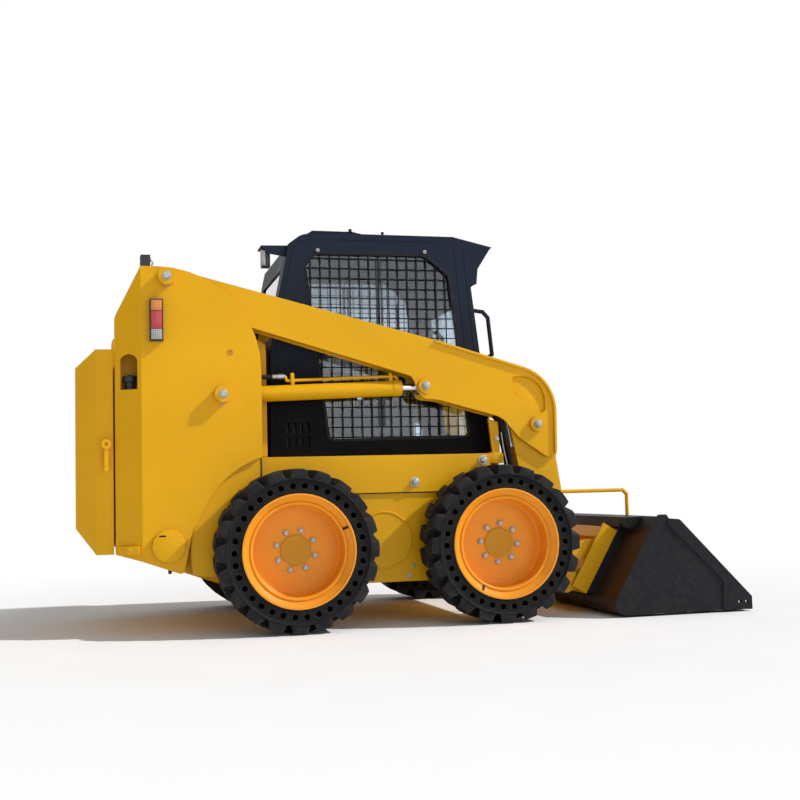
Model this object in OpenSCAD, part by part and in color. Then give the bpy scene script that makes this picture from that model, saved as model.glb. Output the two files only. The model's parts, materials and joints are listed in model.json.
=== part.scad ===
// Skid steer loader with four lugged solid tyres, a glazed cab with wire
// screens, two radial lift arms and a dirt bucket on a quick coupler.
// Millimetres, +X forward, +Y to the driver's left, +Z up.
// The origin is on the ground under the middle of the machine.

/* [Overall] */
// Distance between the front and rear axles
wheelbase = 1040; // [980:5:1100]
// From the middle between the axles back to the face of the rear door
rear_reach = 1550; // [1500:5:1620]
// From the middle between the axles forward to the bucket's lip
front_reach = 1841; // [1780:5:1900]

/* [Wheels] */
// Tyre diameter over the lugs
tyre_d = 787; // [760:1:800]
// Tyre width
tyre_w = 240; // [220:1:250]
// From the centre plane to the outer face of a tyre
tyre_out = 835; // [815:1:850]
// Rim diameter over its flanges
rim_d = 549; // [530:1:560]
// Height of a rim flange above the tyre seat
rim_flange_h = 13; // [8:1:18]
// Thickness of the rim's steel
rim_t = 11; // [8:1:14]
// Depth of the wheel disc behind the tyre's outer face
disc_depth = 138; // [125:1:145]
// Diameter of the hub cap
hub_d = 150; // [130:1:160]
// How far the hub cap stands out of the wheel disc
hub_h = 5; // [3:1:12]
// Radius of the dished wall inside the rim
dish_r = 222; // [214:1:228]
// Diameter of the turning axle shaft
shaft_d = 84; // [70:1:95]
// Depth of the lugs
lug_h = 45; // [35:1:50]
// Lugs in each of a tyre's two rows
lug_count = 20; // [16:1:24]

/* [Frame] */
// Thickness of the frame plates
plate_t = 12; // [8:1:16]
// Height of the belly over the ground
belly_z = 207; // [180:1:230]
// Height of the fold between drive case and upper rail
fold_z = 660; // [640:1:680]
// Height of the top of the upper rails
rail_top = 850; // [835:1:870]
// From the centre plane to the outer face of the upper rails
rail_out = 560; // [545:1:575]
// From the centre plane to the outer face of the drive cases
case_out = 546; // [530:1:556]
// From the centre plane to the inner face of the drive cases and rails
well_half = 405; // [390:1:415]
// Front end of the drive cases, ahead of the front axle
case_nose = 118; // [100:1:125]
// Radius of the round drive covers
cover_r = 146; // [120:1:150]
// Diameter of an axle housing
housing_d = 150; // [130:1:180]

/* [Towers] */
// From the centre plane to the outer face of a tower
tower_out = 612; // [604:1:620]
// From the centre plane to the inner face of a tower
tower_in = 450; // [444:1:455]
// Clear gap between rear tyre and wheel arch
arch_gap = 84; // [70:1:95]
// Radius of the tower's front shoulder
nose_r = 500; // [440:5:520]
// From the centre plane to the rear corner of a tower
back_half = 535; // [525:1:545]

/* [Lift linkage] */
// Arm pivot, behind the middle between the axles
lift_x = -1117; // [-1140:1:-1100]
// Height of the arm pivot
lift_z = 1734; // [1710:1:1760]
// Lift cylinder's lower pin, lengthways
cyl_x = -852; // [-870:1:-835]
// Height of the lift cylinder's lower pin
cyl_z = 1160; // [1140:1:1175]
// Lift cylinder's rod pin on the arm, lengthways
eye_x = 185; // [170:1:200]
// Height of the lift cylinder's rod pin
eye_z = 1200; // [1185:1:1215]
// Outside diameter of the lift cylinder barrels
lift_barrel_d = 80; // [70:1:88]
// Diameter of the lift cylinder rods
lift_rod_d = 45; // [38:1:50]
// Diameter of the pivot pins
pin_d = 60; // [50:1:64]

/* [Tilt linkage] */
// Tilt cylinder's upper pin, lengthways
tilt_x = 789; // [780:1:800]
// Height of the tilt cylinder's upper pin
tilt_z = 998; // [985:1:1010]
// Bucket hinge pin, lengthways
hinge_x = 935; // [925:1:945]
// Height of the bucket hinge pin
hinge_z = 165; // [160:1:172]
// Tilt cylinder's rod pin, ahead of the hinge pin
link_dx = 70; // [62:1:76]
// Tilt cylinder's rod pin, above the hinge pin
link_dz = 166; // [158:1:174]
// Outside diameter of the tilt cylinder barrels
tilt_barrel_d = 54; // [48:1:56]
// Diameter of the tilt cylinder rods
tilt_rod_d = 35; // [30:1:40]

/* [Arms] */
// From the centre plane to the outer face of an arm
arm_out = 592; // [588:1:594]
// From the centre plane to the inner face of an arm
arm_in = 470; // [468:1:474]
// How far the arm's edge flange stands proud of its side plate
arm_lip = 13; // [8:1:18]
// Step from the arm's side plate in to the leg plate
leg_step = 25; // [22:1:27]
// Diameter of the cross tube between the arms
cross_d = 140; // [110:1:150]

/* [Cab] */
// From the centre plane to the outer face of the cab
cab_half = 440; // [435:1:445]
// Thickness of the cab's walls
cab_wall = 30; // [24:1:34]
// Rear lower corner of the cab, behind the middle between the axles
cab_rear = -594; // [-596:1:-585]
// Front lower corner of the cab
cab_front = 598; // [590:1:605]
// Height of the eaves under the roof
eaves_z = 1955; // [1940:1:1965]
// Height of the roof's middle over the eaves
roof_rise = 61; // [50:1:70]
// Thickness of the window glass
glass_t = 6; // [4:1:8]
// Pitch of the wire screens
mesh_pitch = 52; // [45:1:60]
// Width of a screen's wires
wire_t = 5; // [4:1:7]
// Gap round the front door
door_gap = 5; // [4:1:8]
// Thickness of the front door
door_t = 28; // [22:1:30]

/* [Rear door] */
// From the centre plane to a side of the rear door
rear_half = 520; // [510:1:524]
// Lower edge of the rear door
rear_low = 396; // [390:1:404]
// Upper edge of the rear door
rear_high = 1390; // [1380:1:1395]
// Depth of the rear door
rear_deep = 179; // [165:1:184]
// Thickness of the rear door's wall
rear_wall = 22; // [16:1:28]

/* [Bucket] */
// From the centre plane to a side of the bucket
bucket_half = 872; // [850:1:900]
// Thickness of the bucket's plates
bucket_t = 14; // [10:1:18]
// Height of the bucket's floor over the ground
bucket_z = 10; // [6:1:16]
// Height of the bucket's back
bucket_high = 500; // [480:1:520]
// Thickness of the cutting edge
edge_t = 22; // [16:1:28]
// From the centre plane to a side of the quick coupler
coupler_half = 588; // [584:1:590]
// How far the bucket's mounting frame stands out of its back
mount_d = 50; // [40:1:56]
// Thickness of the side cutters
cutter_t = 8; // [6:1:10]
// Diameter of the bolt holes in the side cutters
cutter_hole_d = 18; // [14:1:22]
// Spacing of the bolt holes in the side cutters
cutter_pitch = 41; // [36:1:48]

/* [Hidden] */
// Running clearance of a pin in its bore, on the radius
pin_fit = 0.3;
// Side gap of an eye between its ears
eye_gap = 3;
// Fine and coarse numbers of facets for round parts
$fn = 64;
arc_step = 9;
mid_x = (rear_reach - front_reach) / 2;
axle_f = wheelbase / 2;
axle_r = -wheelbase / 2;
tyre_r = tyre_d / 2;
tyre_in = tyre_out - tyre_w;
seat_r = rim_d / 2 - rim_flange_h;
pin_r = pin_d / 2;
arch_r = tyre_r + arch_gap;
pivot = [lift_x, lift_z];
cyl_pin = [cyl_x, cyl_z];
eye_pin = [eye_x, eye_z];
tilt_pin = [tilt_x, tilt_z];
hinge = [hinge_x, hinge_z];
link_pin = hinge + [link_dx, link_dz];
arm_mid = (arm_out + arm_in) / 2;
leg_out = arm_out - leg_step;
leg_mid = (leg_out + arm_in) / 2;
lift_len = norm(eye_pin - cyl_pin);
tilt_len = norm(link_pin - tilt_pin);
roof_z = eaves_z + roof_rise;
tower_top = lift_z + 54;
tower_rear = lift_x - 123;
tower_front = cyl_x + 192;
rail_rear = tower_front - 20;
tower_back = -rear_reach + rear_deep + 8;
rear_face = -rear_reach;
rear_front = rear_face + rear_deep;
yellow = [0.89, 0.67, 0.11];
orange = [0.87, 0.55, 0.17];
black = [0.14, 0.16, 0.19];
rubber = [0.15, 0.15, 0.16];
steel = [0.72, 0.73, 0.75];
glass = [0.55, 0.62, 0.66, 0.4];

// Helpers

function unit(v) = v / norm(v);
function flat(p) = [p[0], p[1]];
function sharp(p) = [p[0], p[1], 0];
function left_of(a, b) = unit([a[1] - b[1], b[0] - a[0]]);

// Points that replace corner b by an arc of radius r
function corner(a, b, c, r) =
    let (
        u = unit(flat(a) - flat(b)),
        v = unit(flat(c) - flat(b)),
        half = acos(max(-1, min(1, u * v))) / 2,
        m = flat(b) + unit(u + v) * (r / sin(half)),
        s = flat(b) + u * (r / tan(half)) - m,
        e = flat(b) + v * (r / tan(half)) - m,
        from = atan2(s[1], s[0]),
        turn = atan2(e[1], e[0]) - from,
        d = turn > 180 ? turn - 360 : turn < -180 ? turn + 360 : turn,
        n = max(2, ceil(abs(d) / arc_step))
    )
    [for (i = [0 : n]) m + r * [cos(from + d * i / n), sin(from + d * i / n)]];

// A closed outline from corners [x, z, radius]
function rounded(p) = [
    for (i = [0 : len(p) - 1])
        each p[i][2] > 0
            ? corner(p[(i + len(p) - 1) % len(p)], p[i], p[(i + 1) % len(p)], p[i][2])
            : [flat(p[i])]
];

// An open path from points [x, z, radius], its ends kept
function bent(p) = [
    for (i = [0 : len(p) - 1])
        each (p[i][2] > 0 && i > 0 && i < len(p) - 1)
            ? corner(p[i - 1], p[i], p[i + 1], p[i][2])
            : [flat(p[i])]
];

// The same path moved to its left by t, with mitred corners
function beside(p, t) = [
    for (i = [0 : len(p) - 1])
        let (
            before = left_of(p[max(i - 1, 0)], p[max(i, 1)]),
            after = left_of(p[min(i, len(p) - 2)], p[min(i + 1, len(p) - 1)]),
            m = unit(before + after)
        )
        p[i] + m * (t / (m * before))
];
function reversed(p) = [for (i = [len(p) - 1 : -1 : 0]) p[i]];

// Outline of a strip of thickness t on the left of a path
function ribbon(p, t) = concat(p, reversed(beside(p, t)));

// A side view shape given depth between two distances from the centre plane
module slab(y0, y1) {
    translate([0, y1, 0]) rotate([90, 0, 0]) linear_extrude(y1 - y0) children();
}

// A shaft across the machine
module across(p, r, y0, y1) {
    translate([p[0], y1, p[1]]) rotate([90, 0, 0]) cylinder(r = r, h = y1 - y0);
}

// Everything is drawn from the middle between the axles
module placed() {
    translate([mid_x, 0, 0]) children();
}

module both_sides() {
    children();
    mirror([0, 1, 0]) children();
}

// Drawn on the left, so the right side is its mirror image
module right_side() {
    mirror([0, 1, 0]) children();
}

// A round bar along a path of points
module bar(path, r) {
    for (i = [0 : len(path) - 2]) {
        d = path[i + 1] - path[i];
        translate(path[i])
            rotate([0, acos(d[2] / norm(d)), atan2(d[1], d[0])])
                cylinder(r = r, h = norm(d), $fn = 24);
    }
    // Knees a little fatter than the bar, as a bent bar's are
    for (i = [1 : len(path) - 2]) translate(path[i]) sphere(r = r + 0.6, $fn = 24);
}

// Frame

module frame_half_side() {
    // Upper rail, a closed box
    slab(well_half, rail_out) polygon([
        [rail_rear, fold_z], [axle_f + 16, fold_z],
        [axle_f + 16, rail_top], [rail_rear, rail_top]
    ]);
}

belly_path = bent([
    [axle_f + case_nose - 2, belly_z, 0], [-800, belly_z, 0],
    [-1060, belly_z + 93, 0], [tower_back + plate_t, rear_low - 6, 0]
]);

module chassis_frame() {
    color(yellow) placed() {
        both_sides() {
            // Upper rail
            difference() {
                frame_half_side();
                slab(well_half + plate_t, rail_out - plate_t) polygon([
                    [rail_rear + plate_t, fold_z + plate_t],
                    [axle_f + 16 - plate_t, fold_z + plate_t],
                    [axle_f + 16 - plate_t, rail_top - plate_t],
                    [rail_rear + plate_t, rail_top - plate_t]
                ]);
            }
            // Drive case
            difference() {
                slab(well_half, case_out) polygon([
                    [axle_r - 150, belly_z], [axle_f + case_nose, belly_z],
                    [axle_f + case_nose, fold_z], [axle_r - 150, fold_z]
                ]);
                slab(well_half + plate_t, case_out - plate_t) polygon([
                    [axle_r - 150 + plate_t, belly_z + plate_t],
                    [axle_f + case_nose - plate_t, belly_z + plate_t],
                    [axle_f + case_nose - plate_t, fold_z - plate_t],
                    [axle_r - 150 + plate_t, fold_z - plate_t]
                ]);
            }
            // Wall of the engine bay
            slab(tower_in - plate_t, tower_in) polygon([
                [axle_r - 150, belly_z], [-800, belly_z],
                [-1060, belly_z + 93], [tower_back + plate_t, rear_low - 6],
                [tower_back + plate_t, rear_high], [cab_rear - 20, rear_high],
                [cab_rear - 20, rail_top], [rail_rear, rail_top],
                [rail_rear, fold_z], [axle_r - 150, fold_z]
            ]);
        }
        // Belly, front plate, rear beam and engine beams
        slab(-tower_in + plate_t, tower_in - plate_t)
            polygon(ribbon(reversed(belly_path), plate_t));
        slab(-well_half, well_half) polygon([
            [axle_f + case_nose - plate_t, belly_z],
            [axle_f + case_nose, belly_z],
            [axle_f + case_nose, rail_top],
            [axle_f + case_nose - plate_t, rail_top]
        ]);
        slab(-tower_in + plate_t, tower_in - plate_t) polygon([
            [tower_back + plate_t, rear_low - 6],
            [tower_back + 60, rear_low - 6],
            [tower_back + 60, rear_low + 40],
            [tower_back + plate_t, rear_low + 40]
        ]);
        for (x = [engine_x0 + 30, engine_x1 - 90])
            slab(-tower_in + plate_t, tower_in - plate_t)
                translate([x, engine_z0 - 40]) square([60, 40]);
    }
}

engine_x0 = -1250;
engine_x1 = -700;
engine_z0 = 440;
engine_z1 = 1060;

module engine_block() {
    color([0.35, 0.36, 0.37]) placed()
        translate([engine_x0, -260, engine_z0])
            cube([engine_x1 - engine_x0, 520, engine_z1 - engine_z0]);
}

module axle_housings() {
    color(yellow) placed() both_sides() for (x = [axle_r, axle_f]) {
        difference() {
            across([x, tyre_r], housing_d / 2, case_out, housing_end);
            across([x, tyre_r], shaft_d / 2 + pin_fit, housing_end - 70, housing_end + 1);
        }
    }
}
housing_end = tyre_out - disc_depth - rim_t - 40;

module frame_covers() {
    color(yellow) placed() both_sides() {
        across([-40, 420], cover_r, case_out, case_out + 9);
        across([-1118, 432], 80, tower_out, tower_out + 9);
    }
}

// Towers

tower_outline = rounded([
    [tower_rear, tower_top, 30], [tower_front, tower_top, nose_r],
    [tower_front, rail_top + 4, 0], [-690, rail_top - 14, 0],
    [-1000, 512, 0], [-1046, 303, 12], [-1062, 296, 0], [tower_rear, 361, 0]
]);
tower_knee = [tower_back, lift_z - 187];

module tower() {
    difference() {
        union() {
            // Outer plate
            slab(tower_out - plate_t, tower_out) polygon(tower_outline);
            // Inner plate, which runs back to the door and forward to the cab
            slab(tower_in, tower_in + plate_t) union() {
                difference() {
                    polygon(tower_outline);
                    translate([rail_rear, fold_z]) square([200, rail_top - fold_z]);
                }
                polygon(rounded([
                    [tower_rear + 40, tower_top - 60, 0], [tower_rear, tower_top - 60, 0],
                    [tower_knee[0], tower_knee[1], 60], [tower_back, rear_low, 0],
                    [tower_rear + 40, 361, 0]
                ]));
                polygon(rounded([
                    [tower_front - 30, rail_top, 0], [cab_rear - 20, rail_top, 0],
                    [cab_rear - 20, rear_high + 60, 60], [tower_front - 30, rear_high + 60, 0]
                ]));
            }
            // Rear corner strip and rear plate, folded from one sheet
            intersection() {
                translate([0, 0, 250]) linear_extrude(1600) polygon(ribbon([
                    [tower_rear + 30, tower_out], [tower_rear, tower_out],
                    [tower_back, back_half], [tower_back, tower_in + plate_t / 2]
                ], plate_t));
                slab(tower_in, tower_out) polygon(rounded([
                    [tower_rear + 30, tower_top, 0], [tower_rear, tower_top, 0],
                    [tower_knee[0], tower_knee[1], 60], [tower_back, rear_low, 0],
                    [tower_rear, 361, 0], [tower_rear + 30, 351, 0]
                ]));
            }
            // Lower plate between the two sides
            slab(tower_in + plate_t, tower_out - plate_t)
                polygon(ribbon([[tower_rear + 10, 358], [-1070, 299]], plate_t));
            // Web ahead of the lower pin
            slab(tower_in + plate_t, tower_out - plate_t)
                translate([tower_front - 190, rail_top + 40]) square([150, plate_t]);
        }
        // Wheel arch
        across([axle_r, tyre_r], arch_r, tower_in - 1, tower_out + 1);
        // Pin bores
        across(pivot, pin_r + pin_fit, tower_in - 1, tower_out + 1);
        across(cyl_pin, pin_r + pin_fit, tower_in - 1, tower_out + 1);
        // Arched opening in the rear corner
        slab(back_half + 4, tower_out + 1) union() {
            translate([tower_rear - 98, 1189]) square([80, 132]);
            translate([tower_rear - 58, 1321]) circle(r = 40);
        }
    }
    // Splash plate in the wheel arch, set back behind the outer plate
    slab(tower_out - 36, tower_out - 24) intersection() {
        translate([axle_r, tyre_r]) circle(r = arch_r + 14);
        polygon([
            [-1062, 296], [-800, 255], [tower_front - 8, 255],
            [tower_front - 8, rail_top + 4], [-1062, rail_top + 4]
        ]);
    }
    slab(tower_out - 24, tower_out - plate_t) intersection() {
        polygon(tower_outline);
        translate([axle_r, tyre_r]) difference() {
            circle(r = arch_r + 14);
            circle(r = arch_r);
        }
    }
}

// Knuckles that carry the rear door on the left tower
module tower_knuckles() {
    for (z = hinge_heights) translate([rear_hinge[0], rear_hinge[1], z - 40]) {
        cylinder(r = strap_r, h = 40 - pin_fit);
        translate([0, -strap_r, 0])
            cube([tower_back - rear_hinge[0], 2 * strap_r, 40 - pin_fit]);
    }
}

module tower_right() {
    color(yellow) placed() right_side() tower();
}

module tower_left() {
    color(yellow) placed() {
        tower();
        tower_knuckles();
    }
}

// Pivot pins with their round heads
module tower_pins() {
    color(yellow) placed() both_sides() for (p = [pivot, cyl_pin]) {
        across(p, pin_r, tower_in + 2, tower_out);
        across(p, pin_r + 12, tower_out, tower_out + 48);
    }
}

// Engine hood with cooling slots

module engine_hood() {
    color(yellow) placed() difference() {
        slab(-tower_in + pin_fit, tower_in - pin_fit) polygon([
            [tower_back + plate_t, rear_high], [cab_rear - 20, rear_high],
            [cab_rear - 20, rear_high + 40], [tower_back + plate_t, rear_high + 20]
        ]);
        for (i = [0 : 9])
            translate([tower_back + 110 + i * 55, -300, rear_high - 1])
                cube([26, 600, 60]);
    }
}

// Lamps

module lamps() {
    color([0.75, 0.16, 0.10]) placed() both_sides() {
        // Tail lamp on the side of the tower
        translate([tower_rear + 41, tower_out, lift_z - 315]) cube([64, 34, 204]);
        // Work lamp on top of the tower
        translate([tower_rear + 2, tower_out - 62, tower_top]) cube([46, 60, 56]);
    }
    // Rear lamp under its bracket on the cab
    color([0.75, 0.16, 0.10]) placed()
        translate([cab_rear - 22, -cab_half + cab_wall + 14, eaves_z - 115])
            cube([42, 54, 100 - pin_fit]);
}

// Cab

// Heights in the cab as shares of the way from the rails to the eaves
function up(share) = rail_top + share * (eaves_z - rail_top);
pillar_top = up(0.826);
lean = atan(101 / (pillar_top - rail_top));
cab_outline = rounded([
    [cab_rear, rail_top, 0], [cab_rear + 10, up(0.522), 200], [cab_rear + 53, up(0.756), 0],
    [cab_rear + 110, eaves_z, 0], [cab_front + 14, eaves_z, 0], [cab_front - 58, up(0.9), 0],
    [cab_front - 66, pillar_top + 1, 0], [cab_front - 101, pillar_top, 0],
    [cab_front, rail_top, 0]
]);
window_outline = rounded([
    [cab_rear + 189, up(0.9), 20], [cab_rear + 246, up(0.963), 30],
    [cab_front - 350, up(0.966), 60], [cab_front - 217, up(0.868), 40],
    [cab_front - 178, up(0.532), 0], [cab_front - 127, up(0.081), 30],
    [cab_rear + 300, up(0.072), 40], [cab_rear + 214, up(0.716), 0]
]);
// Lower left corner, width and height of the rear window's cut
rear_window = [-320, up(0.561), 640, up(0.896) - up(0.561)];

module cab_side() {
    difference() {
        slab(cab_half - cab_wall, cab_half) polygon(cab_outline);
        slab(cab_half - cab_wall - 1, cab_half + 1) polygon(window_outline);
        // Louvres low at the rear
        for (row = [0, 1], i = [0 : 3])
            slab(cab_half - cab_wall - 1, cab_half + 1)
                translate([cab_rear + 81 + i * 36, rail_top + 50 + row * 72])
                    square([16, 55]);
    }
    // Grab handle on the front pillar
    bar([for (p = grab_path) [p[0], cab_half - cab_wall / 2, p[1]]], 11);
}
grab_path = bent([
    [front_at(up(0.699)) - 8, up(0.699), 0], [cab_front - 32, up(0.692), 0],
    [cab_front - 4, up(0.664), 0], [cab_front + 14, up(0.484), 0],
    [front_at(up(0.434)) - 8, up(0.434), 0]
]);
function front_at(z) = cab_front - (z - rail_top) * tan(lean);

module cab_side_right() {
    color(black) placed() right_side() cab_side();
}

module cab_side_left() {
    color(black) placed() {
        cab_side();
        // Knuckles that carry the front door
        on_front() for (z = door_knuckles)
            translate([door_pin[0], door_pin[1], z + knuckle_h + pin_fit]) {
                cylinder(r = knuckle_r, h = knuckle_h - pin_fit);
                translate([-door_pin[0] - 1, 4, 0])
                    cube([door_pin[0] + 1, 14, knuckle_h - pin_fit]);
            }
    }
}

module cab_roof() {
    color(black) placed() {
        slab(-cab_half, cab_half) polygon(rounded([
            [cab_rear + 110, eaves_z, 0], [cab_front + 14, eaves_z, 0],
            [cab_front + 27, eaves_z + 10, 0], [cab_front - 194, roof_z, 0],
            [cab_rear + 407, roof_z, 0], [cab_rear + 181, roof_z - 8, 90]
        ]));
        // Hatch on the roof
        slab(-cab_half + 50, cab_half - 50) polygon([
            [cab_rear + 212, roof_z - 16], [cab_rear + 206, roof_z - 3],
            [cab_rear + 244, roof_z + 22], [cab_rear + 458, roof_z + 22],
            [cab_rear + 507, roof_z + 12], [cab_rear + 507, roof_z - 16]
        ]);
        // Front header over the door
        slab(-cab_half + cab_wall, cab_half - cab_wall) polygon([
            [cab_front - 66, eaves_z], [cab_front - 104, eaves_z],
            [cab_front - 104, up(0.837)], [cab_front - 98, up(0.81)],
            [cab_front - 70, up(0.827)]
        ]);
    }
}

rear_path = bent([
    [cab_rear, rail_top, 0], [cab_rear + 10, up(0.522), 200],
    [cab_rear + 53, up(0.756), 0], [cab_rear + 116, eaves_z + 27, 0]
]);

module rear_window_cut() {
    translate([cab_rear - 106, rear_window[0], rear_window[1]])
        cube([300, rear_window[2], rear_window[3]]);
}

module cab_rear_wall() {
    color(black) placed() difference() {
        slab(-cab_half + cab_wall, cab_half - cab_wall)
            polygon(ribbon(reversed(rear_path), cab_wall));
        rear_window_cut();
        // Flat foot on the rails and flat top under the roof
        translate([cab_rear - 50, -cab_half, rail_top - 50]) cube([200, 2 * cab_half, 50]);
        translate([cab_rear - 50, -cab_half, eaves_z - pin_fit])
            cube([300, 2 * cab_half, 100]);
    }
    // Bracket of the rear lamp
    color(black) placed() translate([0, -cab_half + cab_wall, 0]) {
        slab(0, 125) polygon([
            [cab_rear - 29, eaves_z - 7], [cab_rear - 29, eaves_z - 15],
            [cab_rear + 118, eaves_z - 12], [cab_rear + 118, eaves_z - 4]
        ]);
        slab(0, 8) polygon([
            [cab_rear - 29, eaves_z - 8], [cab_rear + 10, eaves_z - 48],
            [cab_rear + 104, eaves_z - 64], [cab_rear + 118, eaves_z - 5]
        ]);
    }
}

floor_path = [
    [cab_rear + cab_wall + 2, rail_top], [90, rail_top], [90, 560],
    [axle_f + case_nose - plate_t, 560]
];

module cab_floor() {
    color(black) placed() slab(-well_half, well_half)
        polygon(ribbon(reversed(floor_path), plate_t));
}

module cab_glass() {
    color(glass) placed() {
        both_sides() slab(cab_half - cab_wall + 4, cab_half - cab_wall + 4 + glass_t)
            polygon(window_outline);
        // Rear window
        intersection() {
            slab(-cab_half, cab_half) polygon(ribbon(beside(reversed(rear_path), 8), glass_t));
            rear_window_cut();
        }
    }
}

module cab_screens() {
    color(black) placed() both_sides() slab(cab_half - 12, cab_half - 6) intersection() {
        polygon(window_outline);
        difference() {
            translate([cab_rear + 174, rail_top + 50])
                square([cab_front - cab_rear - 272, eaves_z - rail_top - 85]);
            for (
                i = [0 : floor((cab_front - cab_rear - 272) / mesh_pitch)],
                j = [0 : floor((eaves_z - rail_top - 85) / mesh_pitch)]
            )
                translate([cab_rear + 174 + i * mesh_pitch, rail_top + 50 + j * mesh_pitch])
                    square(mesh_pitch - wire_t);
        }
    }
}

// Seat and controls

module seat_base() {
    color(black) placed()
        translate([-330, -190, rail_top]) cube([400, 380, 170]);
}

module seat() {
    color([0.12, 0.12, 0.13]) placed() {
        translate([-330, -235, rail_top + 170.3]) cube([470, 470, 100]);
        slab(-225, 225) polygon(rounded([
            [-330, rail_top + 270.6, 0], [-230, rail_top + 270.6, 0],
            [-330, rail_top + 800, 40], [-430, rail_top + 790, 40], [-350, rail_top + 290, 0]
        ]));
    }
}

module control_levers() {
    color(black) placed() both_sides() {
        translate([-120, 270, rail_top]) cube([300, 110, 250]);
        bar([
            [110, 325, rail_top + 245], [130, 325, rail_top + 330],
            [135, 325, rail_top + 430]
        ], 16);
    }
}

// Front door, hung on the left front pillar

door_half = cab_half - cab_wall - door_gap;
door_low = rail_top + 12;
door_high = up(0.804);
door_len = (door_high - door_low) / cos(lean);
// Hinge pin in front of the gap beside the door, and the foot of each knuckle
door_pin = [10, door_half + door_gap / 2];
knuckle_r = 8;
knuckle_h = 40;
door_knuckles = [110, door_len - 2 * knuckle_h - 12];

// Puts a shape on the sloping front of the cab, x outward and z up the slope
module on_front() {
    translate([cab_front - (door_low - rail_top) * tan(lean), 0, door_low])
        rotate([0, -lean, 0]) children();
}

module cab_door() {
    color(black) placed() {
        on_front() difference() {
            translate([-door_t - 2, -door_half, 0]) cube([door_t, 2 * door_half, door_len]);
            translate([-door_t - 3, -door_half + 55, 70])
                cube([door_t + 2, 2 * door_half - 110, door_len - 130]);
        }
        // Knuckles of the hinge on the left pillar
        on_front() for (z = door_knuckles) translate([door_pin[0], door_pin[1], z]) {
            cylinder(r = knuckle_r, h = knuckle_h);
            translate([-door_pin[0] - 3, -18, 0]) cube([door_pin[0] + 3, 14, knuckle_h]);
        }
    }
}

module cab_door_glass() {
    color(glass) placed() on_front()
        translate([-door_t / 2 - 2, -door_half + 55, 70])
            cube([glass_t, 2 * door_half - 110, door_len - 130]);
}

// Rear door, hung on the left tower

rear_hinge = [rear_front - 6, rear_half + 16];
strap_r = 12;
hinge_heights = [rear_low + 180, rear_high - 180];

module door_block(t) {
    intersection() {
        slab(-rear_half + t, rear_half - t) polygon([
            [rear_front + t, rear_low + t], [rear_front - 82, rear_low + t],
            [rear_face + t, rear_low + 127], [rear_face + t, rear_high - 85],
            [rear_front - 82, rear_high - t], [rear_front + t, rear_high - t]
        ]);
        translate([0, 0, rear_low]) linear_extrude(rear_high - rear_low) polygon([
            [rear_front + t, t - rear_half], [rear_front - 82, t - rear_half],
            [rear_face + t, 90 - rear_half], [rear_face + t, rear_half - 90],
            [rear_front - 82, rear_half - t], [rear_front + t, rear_half - t]
        ]);
    }
}

module rear_door() {
    color(yellow) placed() {
        difference() {
            door_block(0);
            door_block(rear_wall);
            // Cooling slots
            for (side = [-1, 1], i = [0 : 10])
                translate([rear_face - 1, side * 200 - 150, rear_low + 260 + i * 50])
                    cube([rear_wall + 2, 300, 24]);
        }
        // Hinge straps
        for (z = hinge_heights) translate([rear_hinge[0], rear_hinge[1], z]) {
            cylinder(r = strap_r, h = 38);
            translate([-strap_r, -16, 0]) cube([strap_r, 16, 38]);
        }
    }
}

module rear_door_latch() {
    color(yellow) placed() {
        difference() {
            across([rear_front - 34, 928], 24, -rear_half - 40, -rear_half);
            across([rear_front - 34, 928], 8, -rear_half - 41, -rear_half - 28);
        }
        translate([rear_front - 44, -rear_half - 34, 796]) cube([20, 14, 115]);
    }
}

// Arms

arm_top = [
    [lift_x + 10, lift_z + 53, 0], [eye_x + 61, eye_z + 239, 0],
    [tilt_x + 113, tilt_z + 250, 240], [tilt_x + 106, tilt_z - 164, 0]
];
arm_outline = rounded([
    [lift_x - 8, lift_z + 54, 0], [eye_x + 61, eye_z + 239, 0],
    [tilt_x + 113, tilt_z + 250, 240], [tilt_x + 106, tilt_z - 168, 20],
    [tilt_x + 50, tilt_z - 170, 30], [tilt_x - 95, tilt_z - 72, 60],
    [tilt_x - 191, tilt_z + 39, 120], [eye_x + 78, eye_z - 72, 60],
    [eye_x - 18, eye_z - 62, 44], [eye_x - 68, eye_z + 52, 40],
    [lift_x + 422, lift_z - 242, 60], [lift_x - 8, lift_z - 54, 0]
]);
leg_outline = rounded([
    [tilt_x - 139, tilt_z - 2, 0], [tilt_x - 101, tilt_z - 202, 0],
    [tilt_x - 44, tilt_z - 478, 200], [hinge_x - 62, hinge_z + 40, 0],
    [hinge_x - 58, hinge_z - 40, 40], [hinge_x + 30, hinge_z - 62, 40],
    [hinge_x + 58, hinge_z + 30, 60], [hinge_x + 3, hinge_z + 310, 200],
    [tilt_x + 138, tilt_z - 349, 0], [tilt_x + 113, tilt_z - 180, 0],
    [tilt_x + 90, tilt_z + 60, 40], [tilt_x - 80, tilt_z + 60, 40]
]);
opening_outline = rounded([
    [tilt_x - 132, tilt_z + 252, 14], [tilt_x - 124, tilt_z + 156, 18],
    [tilt_x + 30, tilt_z + 56, 14], [tilt_x + 54, tilt_z + 76, 14],
    [tilt_x + 48, tilt_z + 252, 125]
]);

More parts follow.
